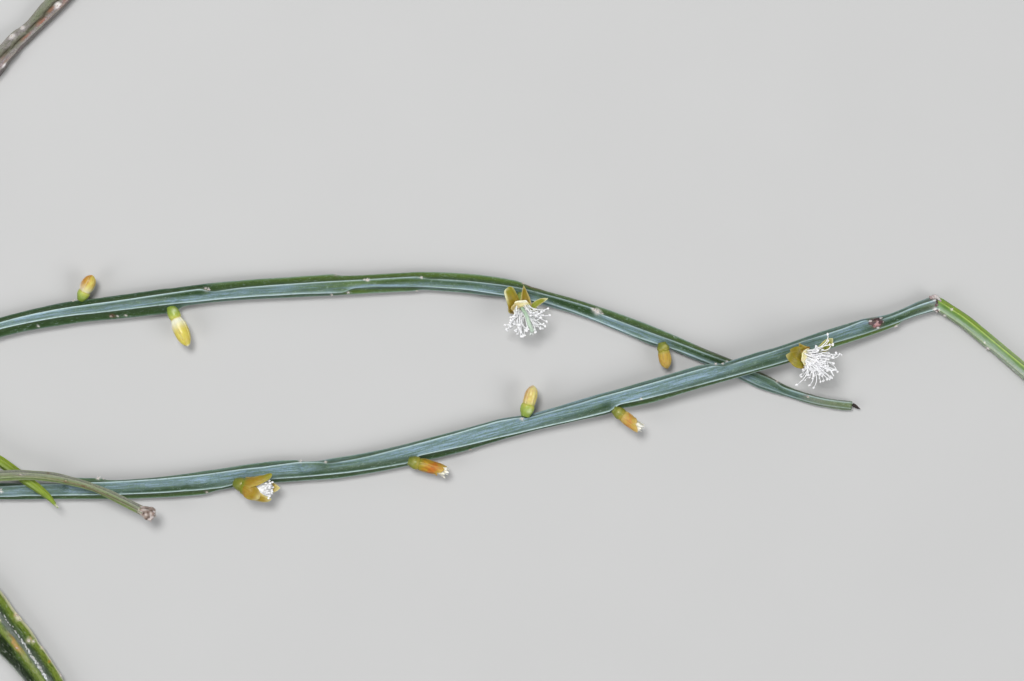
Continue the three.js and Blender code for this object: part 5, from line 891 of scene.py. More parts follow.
MAT["tepal"] = organ_material("tepal_skin", (0.225, 0.180, 0.010), (0.105, 0.072, 0.004), (0.300, 0.150, 0.022), (0.64, 0.62, 0.38), (0.235, 0.275, 0.030), rough=0.4, specular=0.16, subsurface=0.2, depth=0.0012, stripe=0.8, bump=0.35)
MAT["tepal_gold"] = organ_material("tepal_gold_skin", (0.320, 0.232, 0.024), (0.150, 0.092, 0.006), (0.330, 0.165, 0.022), (0.70, 0.64, 0.34), (0.190, 0.225, 0.020), rough=0.4, specular=0.16, subsurface=0.2, depth=0.0012, stripe=0.9, bump=0.35)
MAT["cup"] = organ_material("cup_skin", (0.74, 0.66, 0.36), (0.40, 0.30, 0.08), (0.60, 0.42, 0.20), (0.86, 0.83, 0.66), (0.46, 0.52, 0.18), rough=0.34, subsurface=0.2, stripe=0.5, bump=0.3)
MAT["filament"] = organ_material("filament_skin", (0.80, 0.80, 0.83), (0.55, 0.60, 0.45), (0.74, 0.66, 0.60), (0.88, 0.88, 0.88), (0.33, 0.48, 0.32), rough=0.45, subsurface=0.3, depth=0.0008, stripe=0.2, mottle=0.3, bump=0.1, radius=(1, 1, 1))
MAT["areole"] = organ_material("areole_wool", (0.52, 0.46, 0.40), (0.10, 0.07, 0.05), (0.34, 0.21, 0.16), (0.78, 0.74, 0.70), (0.20, 0.26, 0.10), rough=0.85, specular=0.1, subsurface=0.1, stripe=0.2, mottle=0.6, bump=0.5)
MAT["frayed"] = organ_material("frayed_petal_tips", (0.80, 0.74, 0.52), (0.50, 0.34, 0.12), (0.70, 0.52, 0.24), (0.88, 0.87, 0.80), (0.60, 0.66, 0.36), rough=0.4, subsurface=0.25, stripe=0.4, bump=0.3)
MAT["crown"] = organ_material("withered_crown_skin", (0.225, 0.180, 0.155), (0.040, 0.028, 0.022), (0.29, 0.20, 0.165), (0.60, 0.53, 0.50), (0.17, 0.19, 0.09), rough=0.75, specular=0.12, subsurface=0.05, stripe=0.8, mottle=0.8, bump=1.0)
MAT["flakes"] = organ_material("corky_flakes", (0.25, 0.26, 0.25), (0.09, 0.10, 0.095), (0.40, 0.30, 0.16), (0.62, 0.65, 0.66), (0.14, 0.18, 0.08), rough=0.8, specular=0.05, subsurface=0.02, stripe=0.4, mottle=0.6, bump=0.8)
MAT["scar"] = organ_material("scar_cork", (0.085, 0.050, 0.055), (0.022, 0.012, 0.014), (0.34, 0.165, 0.165), (0.56, 0.54, 0.52), (0.10, 0.12, 0.06), rough=0.75, specular=0.15, subsurface=0.03, stripe=0.6, mottle=0.7, bump=0.9)
MAT["dried_dark"] = organ_material("dried_tip_tissue", (0.075, 0.060, 0.055), (0.018, 0.014, 0.013), (0.11, 0.08, 0.06), (0.30, 0.27, 0.25), (0.06, 0.07, 0.03), rough=0.8, specular=0.1, subsurface=0.03, stripe=1.0, mottle=0.8, bump=0.9)
MAT["dried"] = organ_material("dried_tissue", (0.235, 0.165, 0.145), (0.050, 0.035, 0.032), (0.30, 0.20, 0.155), (0.62, 0.57, 0.54), (0.14, 0.15, 0.07), rough=0.8, specular=0.15, subsurface=0.05, stripe=1.0, mottle=0.8, bump=0.9)


# ------------------------------------------------------------------ areoles
RNG = np.random.default_rng(20)


def axes_of(N):
    N = unit(N)
    ref = np.array([0.23, 0.94, 0.24]) if abs(N[1]) < 0.9 else np.array([0.97, 0.1, 0.2])
    A = unit(np.cross(ref, N))
    return A, unit(np.cross(N, A)), N


def hair(part, P, direction, length, r0, bend, sides=4, steps=4, **attrs):
    """A tapered curved hair or filament starting inside its base."""
    A, B, N = axes_of(direction)
    t = np.linspace(0, 1, steps + 1)
    line = P + np.outer(t * length, N) + np.outer(t ** 2, bend)
    T = unit(np.gradient(line, axis=0))
    V = []
    for i in range(steps + 1):
        a = unit(A - T[i] * np.dot(A, T[i]))
        b = np.cross(T[i], a)
        r = r0 * (1 - 0.8 * t[i])
        ang = np.arange(sides) * 2 * math.pi / sides
        V.append(line[i] + r * (np.outer(np.cos(ang), a) + np.outer(np.sin(ang), b)))
    V = np.vstack(V + [line[0][None], line[-1][None] + T[-1] * r0 * 0.3])
    part.add(V, tube_faces(steps + 1, sides), **attrs)


def cushion(part, P, N, T, size, height, seed, **attrs):
    """A lumpy little pad, sunk a little into the skin."""
    T = unit(T - N * np.dot(T, N))
    B = np.cross(N, T)
    rows, cols = 6, 12
    V = []
    for i in range(rows):
        a = (i + 0.5) / rows * math.pi
        for j in range(cols):
            g = j / cols * 2 * math.pi
            V.append([math.sin(a) * math.cos(g) * size * 1.35, math.sin(a) * math.sin(g) * size, math.cos(a) * height])
    V = np.array(V + [[0, 0, height], [0, 0, -height]])
    k = 1 + 0.28 * grain(V * 3.1 / max(size, 0.2) * 0.5 + seed, seed)
    V = V * k[:, None]
    W = P + np.outer(V[:, 0], T) + np.outer(V[:, 1], B) + np.outer(V[:, 2], N)
    f = []
    for i in range(rows - 1):
        for j in range(cols):
            k = (j + 1) % cols
            f.append((i * cols + j, (i + 1) * cols + j, (i + 1) * cols + k, i * cols + k))
    for j in range(cols):
        k = (j + 1) % cols
        f.append((rows * cols, j, k))
        f.append((rows * cols + 1, (rows - 1) * cols + k, (rows - 1) * cols + j))
    part.add(W, f, flow=V * 1.0, **attrs)


def areole(part, stem, u, v, size=0.32, hairs=10, wool=0.7, scale=True, seed=0, lift=0.0):
    P, N, T = stem.on(u, v, sink=0.05 - lift)
    rng = np.random.default_rng(1000 + seed)
    cushion(part, P, N, T, size, size * 0.5, seed, pale=0.75 * wool, warm=0.5 * (1 - wool))
    for _ in range(hairs):
        a, r = rng.uniform(0, 2 * math.pi), size * math.sqrt(rng.uniform(0, 1)) * 0.8
        B = np.cross(N, T)
        d = unit(N * rng.uniform(0.5, 1.1) + (T * math.cos(a) + B * math.sin(a)) * rng.uniform(0.3, 1.0) + T * 0.35)
        hair(part, P + (T * math.cos(a) + B * math.sin(a)) * r, d, size * rng.uniform(1.0, 2.3), 0.035 + 0.05 * size,
             rng.normal(0, 0.3 * size, 3), pale=wool + 0.2, warm=0.1)
    if scale:
        # the tiny dry scale leaf below the wool
        tip = unit(T * 0.8 + N * 0.55)
        hair(part, P - T * size * 1.1 - N * 0.05, tip, size * 2.0, size * 0.42, N * 0.1, sides=6, warm=0.9, deep=0.3)


AREOLES = {
    "upper_stem": (upper, [(204.6, 288.8, 0.34, 0.8), (209.2, 289.9, 0.36, 0.7), (368, 280, 0.34, 0.9), (365.2, 279.6, 0.2, 0.8), (421, 277.5, 0.22, 0.8), (331.6, 294.8, 0.22, 0.7), (348, 292.6, 0.24, 0.7),
                           (336, 275, 0.3, 0.25), (523.4, 283.2, 0.28, 0.2), (594, 309.6, 0.3, 0.8), (598, 311.8, 0.32, 0.85), (601, 313.6, 0.26, 0.7), (416, 291, 0.22, 0.4),
                           (673.5, 336.2, 0.24, 0.3), (776, 381, 0.26, 0.3), (807, 396.3, 0.26, 0.25), (72.8, 298.6, 0.3, 0.6), (117.4, 315.8, 0.13, 0.5), (125.8, 315.2, 0.13, 0.5),
                           (111.6, 316, 0.26, 0.0), (-60, 342, 0.28, 0.6), (-20, 330, 0.28, 0.6), (-110, 376, 0.28, 0.5), (-150, 411, 0.26, 0.5), (660.5, 346.5, 0.24, 0.3)]),
    "lower_stem": (lower, [(99, 477.6, 0.34, 0.95), (103.6, 478.6, 0.22, 0.5), (301, 461.2, 0.26, 0.75), (325, 462.2, 0.2, 0.6), (206, 492.4, 0.26, 0.4), (522.7, 418.8, 0.24, 1.0),
                           (716, 363.6, 0.2, 0.8), (723, 363.8, 0.2, 0.8), (470.5, 449.8, 0.3, 0.05), (896.6, 326.6, 0.34, 0.9), (410.5, 464.8, 0.26, 0.4), (641, 399, 0.16, 0.6),
                           (-40, 486, 0.28, 0.6), (-110, 487, 0.28, 0.5), (-150, 489, 0.26, 0.5), (2.2, 489, 0.2, 1.0), (535, 414.3, 0.2, 0.4), (613.6, 411, 0.24, 0.5)]),
    "terminal_stem": (terminal, [(938.8, 310.0, 0.2, 0.85), (945.2, 315.7, 0.2, 0.85), (951, 308.6, 0.22, 0.9), (988, 348.6, 0.36, 0.5), (1066, 406, 0.24, 0.7), (1094, 437, 0.24, 0.6)]),
    "old_branch": (old, [(11.9, 36.2, 0.34, 0.8), (22.2, 27.4, 0.24, 0.5), (56.9, 6.4, 0.34, 0.85), (-60, 112, 0.3, 0.5), (-134, 205, 0.3, 0.4), (-190, 330, 0.28, 0.4), (-166, 268, 0.28, 0.4)]),
    "winged_branch": (winged, [(16.2, 615.2, 0.4, 0.25), (18.4, 619.4, 0.34, 0.85), (29.2, 640.8, 0.34, 0.75), (33.2, 641.2, 0.28, 0.8), (41.6, 647.6, 0.26, 0.3), (17.4, 646.6, 0.3, 0.0),
                               (60, 676, 0.3, 0.5), (-62, 562, 0.34, 0.6), (-118, 540, 0.34, 0.5), (70, 702, 0.34, 0.5)]),
    "young_shoot": (shoot, [(57.2, 506.6, 0.17, 0.85), (24, 478, 0.12, 0.4), (-40, 440, 0.2, 0.5)]),
    "withered_branch": (withered, [(21, 474.2, 0.2, 0.0), (66, 481, 0.18, 0.0), (-60, 472, 0.24, 0.3), (-120, 466, 0.24, 0.3)]),
}
for node, (stem, rows) in AREOLES.items():
    p = Part()
    for i, (u, v, size, wool) in enumerate(rows):
        areole(p, stem, u, v, size, hairs=int(8 + 14 * wool), wool=wool, scale=wool > 0.2, seed=i + 31 * len(node))
    build(node + "_areoles", p, MAT["areole"], "dried")


# ------------------------------------------------------------------ turned organs
def turned(part, P, axis, rows, sides=32, steps=22, lump=0.02, seed=0, ribs=0, rib=0.0, paint=None, squash=1.0, bend=None):
    """A lathe body along `axis` from P: rows [distance, radius], rounded by a curve through them."""
    side = unit(np.cross(UP, axis))
    top = unit(np.cross(axis, side))
    R = curve(np.c_[np.asarray(rows, float), np.zeros(len(rows))], 30)
    S = np.r_[0, np.cumsum(np.linalg.norm(np.diff(R, axis=0), axis=1))]
    s = np.linspace(0, S[-1], steps)
    d, r = np.interp(s, S, R[:, 0]), np.maximum(np.interp(s, S, R[:, 1]), 0.01)
    ang = np.arange(sides) * 2 * math.pi / sides
    total = rows[-1][0]
    V = np.zeros((steps, sides, 3))
    for i in range(steps):
        q = d[i] / total
        wave = 1 + rib * np.cos(ribs * ang) if ribs else 1.0
        rr = r[i] * wave
        off = np.zeros(3) if bend is None else np.asarray(bend) * q * q
        V[i] = P + axis * d[i] + off + (rr * np.cos(ang))[:, None] * side + (rr * np.sin(ang) * squash)[:, None] * top
    flat = V.reshape(-1, 3)
    n = grain((flat - P) * 0.9 + seed, seed) * lump + grain((flat - P) * 2.6 + seed, seed + 1) * lump * 0.4
    centre = P + np.repeat(d[:, None], sides, 1).reshape(-1, 1) * axis
    flat = flat + unit(flat - centre) * n[:, None]
    along = np.repeat(d / total, sides)
    theta = np.tile(ang, steps)
    V = np.vstack([flat, V[0].mean(0), V[-1].mean(0)])
    along = np.r_[along, along[0], along[-1]]
    theta = np.r_[theta, 0, 0]
    rad = np.r_[np.repeat(r, sides), 0, 0]
    flow = np.c_[along * total, theta * 1.6, np.full(len(V), seed * 3.7)]
    masks = paint(along, theta, V) if paint else {}
    part.add(V, tube_faces(steps, sides), flow=flow, **masks)


def leaf(part, spine, out, halfwidth, n=16, m=9, thick=0.14, cup=0.0, wave=0.0, seed=0, paint=None):
    """A thin closed blade along spine points with outward directions `out` (n, 3) and half widths (n,)."""
    spine, out = np.asarray(spine, float), unit(out)
    T = unit(np.gradient(spine, axis=0))
    W = unit(np.cross(T, out))
    N = unit(np.cross(W, T))
    n = len(spine)
    x = np.linspace(-1, 1, m)
    s = np.linspace(0, 1, n)
    X, Sg = np.meshgrid(x, s)
    C = spine[:, None, :] + W[:, None, :] * (X * halfwidth[:, None])[:, :, None]
    C = C + N[:, None, :] * (cup * (X ** 2) * np.minimum(halfwidth, 2.0)[:, None])[:, :, None]
    flow = np.stack([Sg * np.linalg.norm(spine[-1] - spine[0]), X * halfwidth[:, None], np.full(X.shape, seed * 2.3)], 2)
    ripple = wave * grain(np.c_[(flow[:, :, 0] * 0.8).ravel(), (X * 1.3).ravel(), np.full(X.size, seed * 1.7)], seed).reshape(X.shape) * (0.3 + np.abs(X))
    C = C + N[:, None, :] * ripple[:, :, None]
    th = thick * (1 - 0.75 * np.abs(X) ** 2.5) * (1 - 0.55 * Sg)
    upv, low = C + N[:, None, :] * (th / 2)[:, :, None], C - N[:, None, :] * (th / 2)[:, :, None]
    V = np.vstack([upv.reshape(-1, 3), low.reshape(-1, 3)])
    f, K = [], n * m
    for i in range(n - 1):
        for j in range(m - 1):
            a = i * m + j
            f.append((a, a + 1, a + m + 1, a + m))
            f.append((K + a, K + a + m, K + a + m + 1, K + a + 1))
        for a, b in ((i * m, (i + 1) * m), ((i + 1) * m + m - 1, i * m + m - 1)):
            f.append((a, b, K + b, K + a))
    for j in range(m - 1):
        f.append((j + 1, j, K + j, K + j + 1))
        a = (n - 1) * m + j
        f.append((a, a + 1, K + a + 1, K + a))
    masks = paint(Sg.ravel(), X.ravel()) if paint else {}
    masks = {k: np.r_[np.broadcast_to(v, Sg.size), np.broadcast_to(v, Sg.size)] for k, v in masks.items()}
    part.add(V, f, flow=np.vstack([flow.reshape(-1, 3)] * 2), **masks)
    return part


# ------------------------------------------------------------------ dried ends
p = Part()
A0, A1 = at(852.6, 404.6, 1.5), at(861, 409.4, 1.4)
turned(p, A0, unit(A1 - A0), [[0, 0.5], [0.4, 0.52], [1.2, 0.42], [2.1, 0.26], [2.75, 0.03]], sides=14, steps=14, lump=0.09, seed=4, squash=0.7,
       paint=lambda a, t, V: {"deep": 0.85 + 0.1 * a, "warm": 0.2})
rng = np.random.default_rng(5)
for k in range(7):
    d = unit(unit(A1 - A0) + rng.normal(0, 0.5, 3) * [1, 1, 0.5])
    hair(p, A0 + (A1 - A0) * 0.15, d, rng.uniform(0.7, 1.5), 0.09, rng.normal(0, 0.12, 3), sides=5, deep=0.6, warm=0.3)
build("dried_tip_spike", p, MAT["dried_dark"], "dried", "dried_tip")

p = Part()
A0, A1 = at(138.2, 509.4, 8.9), at(155.4, 516.0, 8.3)
ax = unit(A1 - A0)
side = unit(np.cross(UP, ax))
top = unit(np.cross(ax, side))
pits = [(1.9, 1.9, 0.34), (2.9, 1.35, 0.42), (3.4, 2.3, 0.34), (2.4, 0.8, 0.28), (4.2, 1.7, 0.4), (3.9, 0.7, 0.3), (4.7, 2.5, 0.3), (3.2, 4.6, 0.4), (2.2, 3.3, 0.4), (4.4, 5.6, 0.4)]


def crown_look(a, th, V):
    h = (V - A0) @ ax
    r = np.linalg.norm(V - A0 - np.outer(h, ax), axis=1)
    dark = sum(np.exp(-(((h - h0) / w) ** 2 + ((np.mod(th - g0 + math.pi, 2 * math.pi) - math.pi) * np.maximum(r, 0.4) / w) ** 2)) for h0, g0, w in pits)
    away = -(np.cos(th) * np.dot(side, [0, -1, 0]) + np.sin(th) * np.dot(top, [0, -1, 0]))
    return {"deep": np.clip(0.9 * dark + 0.8 * np.clip(grain(V * 1.6, 41), 0, 1) * step(h, 0.6, 1.6), 0, 1), "pale": np.clip(0.75 * grain(V * 1.3, 43) + 0.12 + 0.5 * step(h, 3.2, 4.4) * np.clip(-away, 0, 1), 0, 0.85),
            "warm": 0.3 + 0.4 * dark, "green": 0.6 * (1 - step(h, 0.0, 1.2))}


turned(p, A0, ax, [[0, 1.12], [0.8, 1.28], [1.7, 1.52], [2.6, 1.82], [3.4, 1.98], [4.1, 1.95], [4.7, 1.72], [5.0, 1.3], [4.8, 0.7], [4.5, 0.05]], sides=72, steps=52, lump=0.26, seed=9, ribs=5, rib=0.09,
       paint=crown_look)
side = unit(np.cross(UP, ax))
top = unit(np.cross(ax, side))
for k in range(11):
    g = k / 11 * 2 * math.pi + 0.3
    out = side * math.cos(g) + top * math.sin(g)
    n = 9
    t = np.linspace(0, 1, n)
    base = A0 + ax * (3.7 + 0.3 * math.sin(k * 2.3)) + out * 1.66
    length = (1.0, 1.2, 0.8, 1.4, 1.1, 1.7, 1.4, 1.8, 1.2, 1.5, 0.9)[k]
    spine = base + np.outer(t * length, ax * 0.9) + np.outer(t ** 2 * length, out * (0.25 if k % 3 else -0.35))
    leaf(p, spine, np.tile(out, (n, 1)), (0.62, 0.45, 0.55)[k % 3] * np.sqrt(np.clip(1 - t ** 2.4, 0.003, 1)), thick=0.2, wave=0.2, seed=k,
         paint=lambda s, x: {"pale": 0.75 + 0.25 * s, "warm": 0.15})
for k in range(7):
    g = k * 1.3
    d = unit(ax + 0.4 * (side * math.cos(g) + top * math.sin(g)))
    hair(p, A0 + ax * 4.5, d, 0.9 + 0.12 * k, 0.14, np.zeros(3), sides=6, pale=0.6)
build("withered_crown_remains", p, MAT["crown"], "dried", "withered_crown")

# corky flakes that break out along the crest of the winged branch
p = Part()
crest = np.array([[-28, 577], [-8, 602], [2.6, 612.2], [8.4, 620.4], [15.6, 628.4], [20.6, 636.2], [26.4, 644.4], [31.0, 652.4], [38.0, 662.4], [44.2, 672.4], [49.2, 679.6], [62, 701], [76, 723]], float)
rng = np.random.default_rng(515)
for k in range(96):
    t_ = (k + 0.5) / 96 * (len(crest) - 1)
    c = np.array([np.interp(t_, np.arange(len(crest)), crest[:, a]) for a in (0, 1)]) + rng.normal(0, 0.26, 2) + np.array([-0.6, 0.4]) * (k % 2)
    if c[0] < 22 and k % 5 in (1, 2, 4):
        continue
    P, N, T = winged.on(c[0], c[1], sink=0.03)
    strong = 1.0 if c[0] > 22 else 0.55
    cushion(p, P, N, T, rng.uniform(0.18, 0.4) * (0.75 + 0.35 * strong), rng.uniform(0.05, 0.1), 700 + k, pale=strong * rng.uniform(0.3, 1.0) * (1.0 if k % 3 == 0 else 0.65), deep=0.3 * (k % 3 == 2))
build("winged_branch_flakes", p, MAT["flakes"], "old_stem")

# the scar on the lower stem, with its torn pale rim
p = Part()
for k, (u, v, size, tall, look) in enumerate((
        (872.0, 322.6, 0.85, 0.2, dict(deep=0.5, pale=0.05)), (875.6, 323.4, 0.9, 0.26, dict(warm=0.9, pale=0.15)), (878.8, 321.8, 0.85, 0.2, dict(deep=0.6)), (875.4, 320.0, 0.7, 0.2, dict(deep=0.75)),
        (874.4, 326.4, 0.6, 0.2, dict(warm=0.6, deep=0.2)), (877.4, 325.4, 0.5, 0.2, dict(warm=0.7)), (869.6, 321.2, 0.4, 0.26, dict(pale=0.7)), (870.0, 324.6, 0.32, 0.22, dict(pale=0.5)),
        (880.8, 318.4, 0.42, 0.28, dict(pale=0.75)), (880.9, 322.4, 0.3, 0.22, dict(pale=0.5)), (876.0, 328.6, 0.4, 0.24, dict(pale=0.75)), (873.2, 324.4, 0.3, 0.3, dict(pale=0.35, warm=0.4)),
        (877.0, 322.2, 0.34, 0.3, dict(warm=0.8, pale=0.25)))):
    P, N, T = lower.on(u, v, sink=0.04)
    cushion(p, P, N, T, size, tall, 60 + k, **look)
build("lower_stem_scar", p, MAT["scar"], "dried")

# the corky corner where the end segment breaks out of the lower stem
p = Part()
for k, (u, v, z, size, look) in enumerate((
        (930.6, 297.6, 4.6, 0.42, dict(pale=0.3, warm=0.5)), (933.0, 296.9, 4.7, 0.52, dict(pale=0.55, warm=0.4)), (935.4, 296.6, 4.7, 0.58, dict(pale=0.7, warm=0.3)), (937.4, 297.5, 4.6, 0.5, dict(pale=0.8)),
        (938.8, 298.9, 4.5, 0.42, dict(pale=0.8)), (940.2, 300.4, 4.3, 0.34, dict(pale=0.45, warm=0.5)), (937.2, 301.6, 4.6, 0.3, dict(deep=0.5)), (937.4, 304.8, 4.5, 0.28, dict(deep=0.35, pale=0.2)),
        (937.3, 308.6, 4.1, 0.3, dict(pale=0.45)), (936.4, 311.2, 3.3, 0.34, dict(pale=0.6)), (936.0, 304.5, 3.2, 1.3, dict(deep=0.3)), (936.4, 301.5, 3.2, 1.1, dict(deep=0.2)), (936.2, 308, 2.8, 1.0, dict(deep=0.3)))):
    cushion(p, at(u, v, z), np.array([0.0, 0.0, 1.0]), np.array([0.6, -0.8, 0.0]), size, size * 0.8, 80 + k, **look)
build("end_segment_corner", p, MAT["scar"], "dried")


# ------------------------------------------------------------------ buds
# base and tip in layout units, ovary length and radius, petal radius, then the look:
# warm at base and tip, warm side (-X), pale at base and tip, deep, open tip
BUDS = {
    "bud_1": dict(stem=upper, b=[81.7, 297.6, 3.3], t=[92.6, 275.2, 5.4], lo=2.3, ro=1.9, rp=2.03, warm=(0.15, 0.38), side=0.75, pale=(0.75, 0.0), fade=0.6, deep=0.25, open=False, green=0.2, tilt=0.5),
    # bud_2: its pale base is partly cream colour and partly a painted highlight
    "bud_2": dict(stem=upper, b=[171.4, 308.6, 4.2], t=[188.4, 346.2, 6.0], lo=3.3, ro=1.88, rp=2.24, warm=(0.0, 0.02), side=0.12, pale=(1.6, 0.0), fade=0.5, deep=0.0, open=False, green=0.1, tilt=2.2, point=0.9),
    # bud_3: the warm -X side also stands for painted shade along its left edge
    "bud_3": dict(stem=upper, b=[662.4, 345.2, 4.3], t=[667.2, 368.8, 4.2], lo=1.75, ro=1.84, rp=1.82, warm=(0.0, 0.1), side=0.2, pale=(0.2, 0.45), deep=0.35, open=False, green=1.0, tilt=0.9, skin="petal_gold", dull=True),
    "bud_4": dict(stem=lower, b=[411.2, 461.6, 4.9], t=[446.8, 471.6, 5.2], lo=2.5, ro=2.0, rp=1.92, warm=(0.1, 0.4), side=0.0, pale=(0.0, 0.2), deep=0.6, open=True, green=0.8, tilt=1.6, blush=0.6, wide=0.88, slant=0.28, skin="petal_gold", dull=True),
    "bud_5": dict(stem=lower, b=[525.8, 413.6, 5.6], t=[533.8, 385.4, 6.0], lo=2.9, ro=2.08, rp=1.9, warm=(0.35, 0.3), side=0.4, pale=(0.2, 0.35), deep=0.0, open=False, green=0.6, tilt=0.1),
    "bud_6": dict(stem=lower, b=[615.8, 410.6, 6.9], t=[641.2, 429.0, 7.2], lo=2.55, ro=1.86, rp=1.84, warm=(0.3, 0.3), side=0.0, pale=(0.35, 0.45), deep=0.2, open=True, green=0.5, tilt=0.8, blush=0.5, wide=0.94, slant=-0.46, skin="petal_gold", dull=True),
}


def bud(name, stem, b, t, lo, ro, rp, warm, side, pale, deep, open, green, tilt, point=0.0, fade=1.0, skin="petal", dull=False, blush=0.0, wide=0.84, slant=0.0):
    base, tip = at(*b), at(*t)
    axis = unit(tip - base)
    total = float(np.linalg.norm(tip - base))
    sd = unit(np.cross(UP, axis))
    tp = unit(np.cross(axis, sd))
    seed = int(name[-1]) * 13
    p = Part()
    # green below, warming towards the petals, and a painted highlight: pale on the side turned up and towards +X,
    # midway along
    turned(p, base - axis * 0.9, axis, [[0, 0.6 * ro], [0.7, 0.74 * ro], [0.9 + 0.25 * lo, 0.93 * ro], [0.9 + 0.58 * lo, ro], [0.9 + 0.86 * lo, 0.96 * ro],
                                        [0.9 + lo, 0.84 * ro], [0.95 + lo, 0.6 * ro], [0.9 + lo - 0.1, 0.05]], sides=40, steps=30, lump=0.05, seed=seed, ribs=5, rib=0.012,
           paint=lambda a, th, V: {"green": np.clip(0.95 - 1.0 * a, 0, 1), "warm": np.clip((a - 0.6) * 1.6, 0, 0.5),
                                   "pale": 0.55 * np.exp(-((a - 0.5) / 0.16) ** 2) * np.clip((unit(V - base - np.outer((V - base) @ axis, axis) + 1e-9) @ unit([0.45, 0.1, 0.9]) - 0.72) / 0.28, 0, 1) ** 2})
    build(name + "_ovary_skin", p, MAT["ovary_dull" if dull else "ovary"], "ovary", name + "_ovary")

    # five petals overlap round the bud, each with one edge over its neighbour and one under
    p = Part()
    lp = total - lo + 0.25
    P0 = base + axis * (lo - 0.25)
    if open:
        prof = [[0, 0.78 * ro], [0.12, 0.9 * ro], [0.3, 1.0 * rp], [0.55, 0.98 * rp], [0.8, 0.5 * (0.98 + wide) * rp], [0.93, wide * rp], [1.0, (wide + 0.02) * rp]]
    else:
        prof = [[0, 0.78 * ro], [0.1, 0.9 * ro], [0.28, 0.99 * rp], [0.52, 1.0 * rp], [0.75, 0.84 * rp], [0.9, 0.56 * rp], [0.97, 0.3 * rp], [1.0, 0.1 * rp]]
    prof = curve(np.c_[np.array(prof), np.zeros(len(prof))], 20)

    def colours(s, ang, x, k):
        lean = np.cos(ang) * np.dot(sd, [-1, 0, 0]) + np.sin(ang) * np.dot(tp, [-1, 0, 0])
        w = warm[0] + (warm[1] - warm[0]) * s + side * np.clip(lean + 0.15, 0, 1)
        if blush:
            w = w + 1.1 * np.exp(-((s - blush) / 0.15) ** 2) * (0.6 + 0.4 * np.cos(3 * ang + k))
        return {"warm": np.clip(w, 0, 1), "pale": np.clip(pale[0] * np.clip(1 - s / fade, 0, 1) ** 1.3 * step(s, 0.02, 0.12) + pale[1] * s ** 3 + 0.25 * step(np.abs(x), 0.86, 1.0) + point * step(s, 0.95, 1.0), 0, 1),
                "green": np.clip((green + 0.15) * (1 - s / 0.24), 0, 1), "deep": np.clip(deep * (0.5 + 0.5 * np.cos(k * 2.1 + 9 * x + 4 * np.sin(5 * s + k))) * (1 - 0.4 * s), 0, 1)}

    n, m = 26, 13
    s = np.linspace(0, 1, n)
    for k in range(5):
        th0 = k * 2 * math.pi / 5 * 2 + tilt
        reach = (1.0, 0.985, 0.97, 0.99, 0.96)[k]
        half = np.radians(54) * (1 - (0.62 if open else 0.5) * step(s, 0.7 if not open else 0.78, 1.0))
        x = np.linspace(-1, 1, m)
        grid = np.zeros((2, n, m, 3))
        ang = np.zeros((n, m))
        for i in range(n):
            r0 = np.interp(s[i], prof[:, 0], prof[:, 1])
            for layer in (0, 1):
                a = th0 + x * half[i]
                r = r0 + 0.085 * x * (1 - 0.4 * s[i]) + 0.02 * (k % 2) - layer * 0.11 * (1 - 0.5 * s[i])
                if open:
                    r = r + 0.28 * step(s[i], 0.86, 1.0) * math.cos(k * 1.9 + 0.4)
                r = np.maximum(r, 0.03 - 0.012 * layer)
                tipdrop = -0.16 * (np.abs(x) ** 2) * step(s[i], 0.75, 1.0) - abs(slant) * lp * s[i] * (0.5 - 0.5 * math.copysign(1.0, slant) * np.cos(a)) ** 1.3
                grid[layer, i] = P0 + np.outer(s[i] * lp * reach + tipdrop, axis) + np.outer(r * np.cos(a), sd) + np.outer(r * np.sin(a), tp)
                ang[i] = a
        flat = grid.reshape(2, -1, 3)
        wob = 0.035 * grain((flat[0] - P0) * 0.9, seed + k) + 0.015 * grain((flat[0] - P0) * 2.7, seed + k + 9)
        mid = P0 + np.outer((flat[0] - P0) @ axis, axis)
        push = unit(flat[0] - mid) * wob[:, None]
        V = np.vstack([flat[0] + push, flat[1] + push])
        f, K = [], n * m
        for i in range(n - 1):
            for j in range(m - 1):
                a = i * m + j
                f.append((a, a + 1, a + m + 1, a + m))
                f.append((K + a, K + a + m, K + a + m + 1, K + a + 1))
            f.append((i * m, (i + 1) * m, K + (i + 1) * m, K + i * m))
            f.append(((i + 1) * m + m - 1, i * m + m - 1, K + i * m + m - 1, K + (i + 1) * m + m - 1))
        for j in range(m - 1):
            f.append((j + 1, j, K + j, K + j + 1))
            a = (n - 1) * m + j
            f.append((a, a + 1, K + a + 1, K + a))
        sg = np.repeat(s, m)
        xs = np.tile(x, n)
        masks = colours(sg, ang.ravel(), xs, k)
        flow = np.c_[sg * lp, (ang * 1.7).ravel(), np.full(n * m, k * 5.3)]
        p.add(V, f, flow=np.vstack([flow, flow]), **{q: np.r_[v, v] for q, v in masks.items()})
    # the inner petals close the bud
    core = [[a[0] * lp, max(a[1] - 0.16, 0.02)] for a in prof[::8]]
    if open:
        core = [[a[0] * lp * (0.97 - 0.8 * abs(slant)), a[1] * (0.8 - 0.5 * abs(slant))] for a in prof[::8]] + [[lp * (0.86 - 0.8 * abs(slant)), 0.05]]
    turned(p, P0, axis, core, sides=28, steps=24, lump=0.02, seed=seed + 3, paint=lambda a, th, V: colours(np.clip(a, 0, 1), th, np.zeros(len(a)), 1))
    build(name + "_petals_skin", p, MAT[skin], "petal", name + "_petals")

    if open:
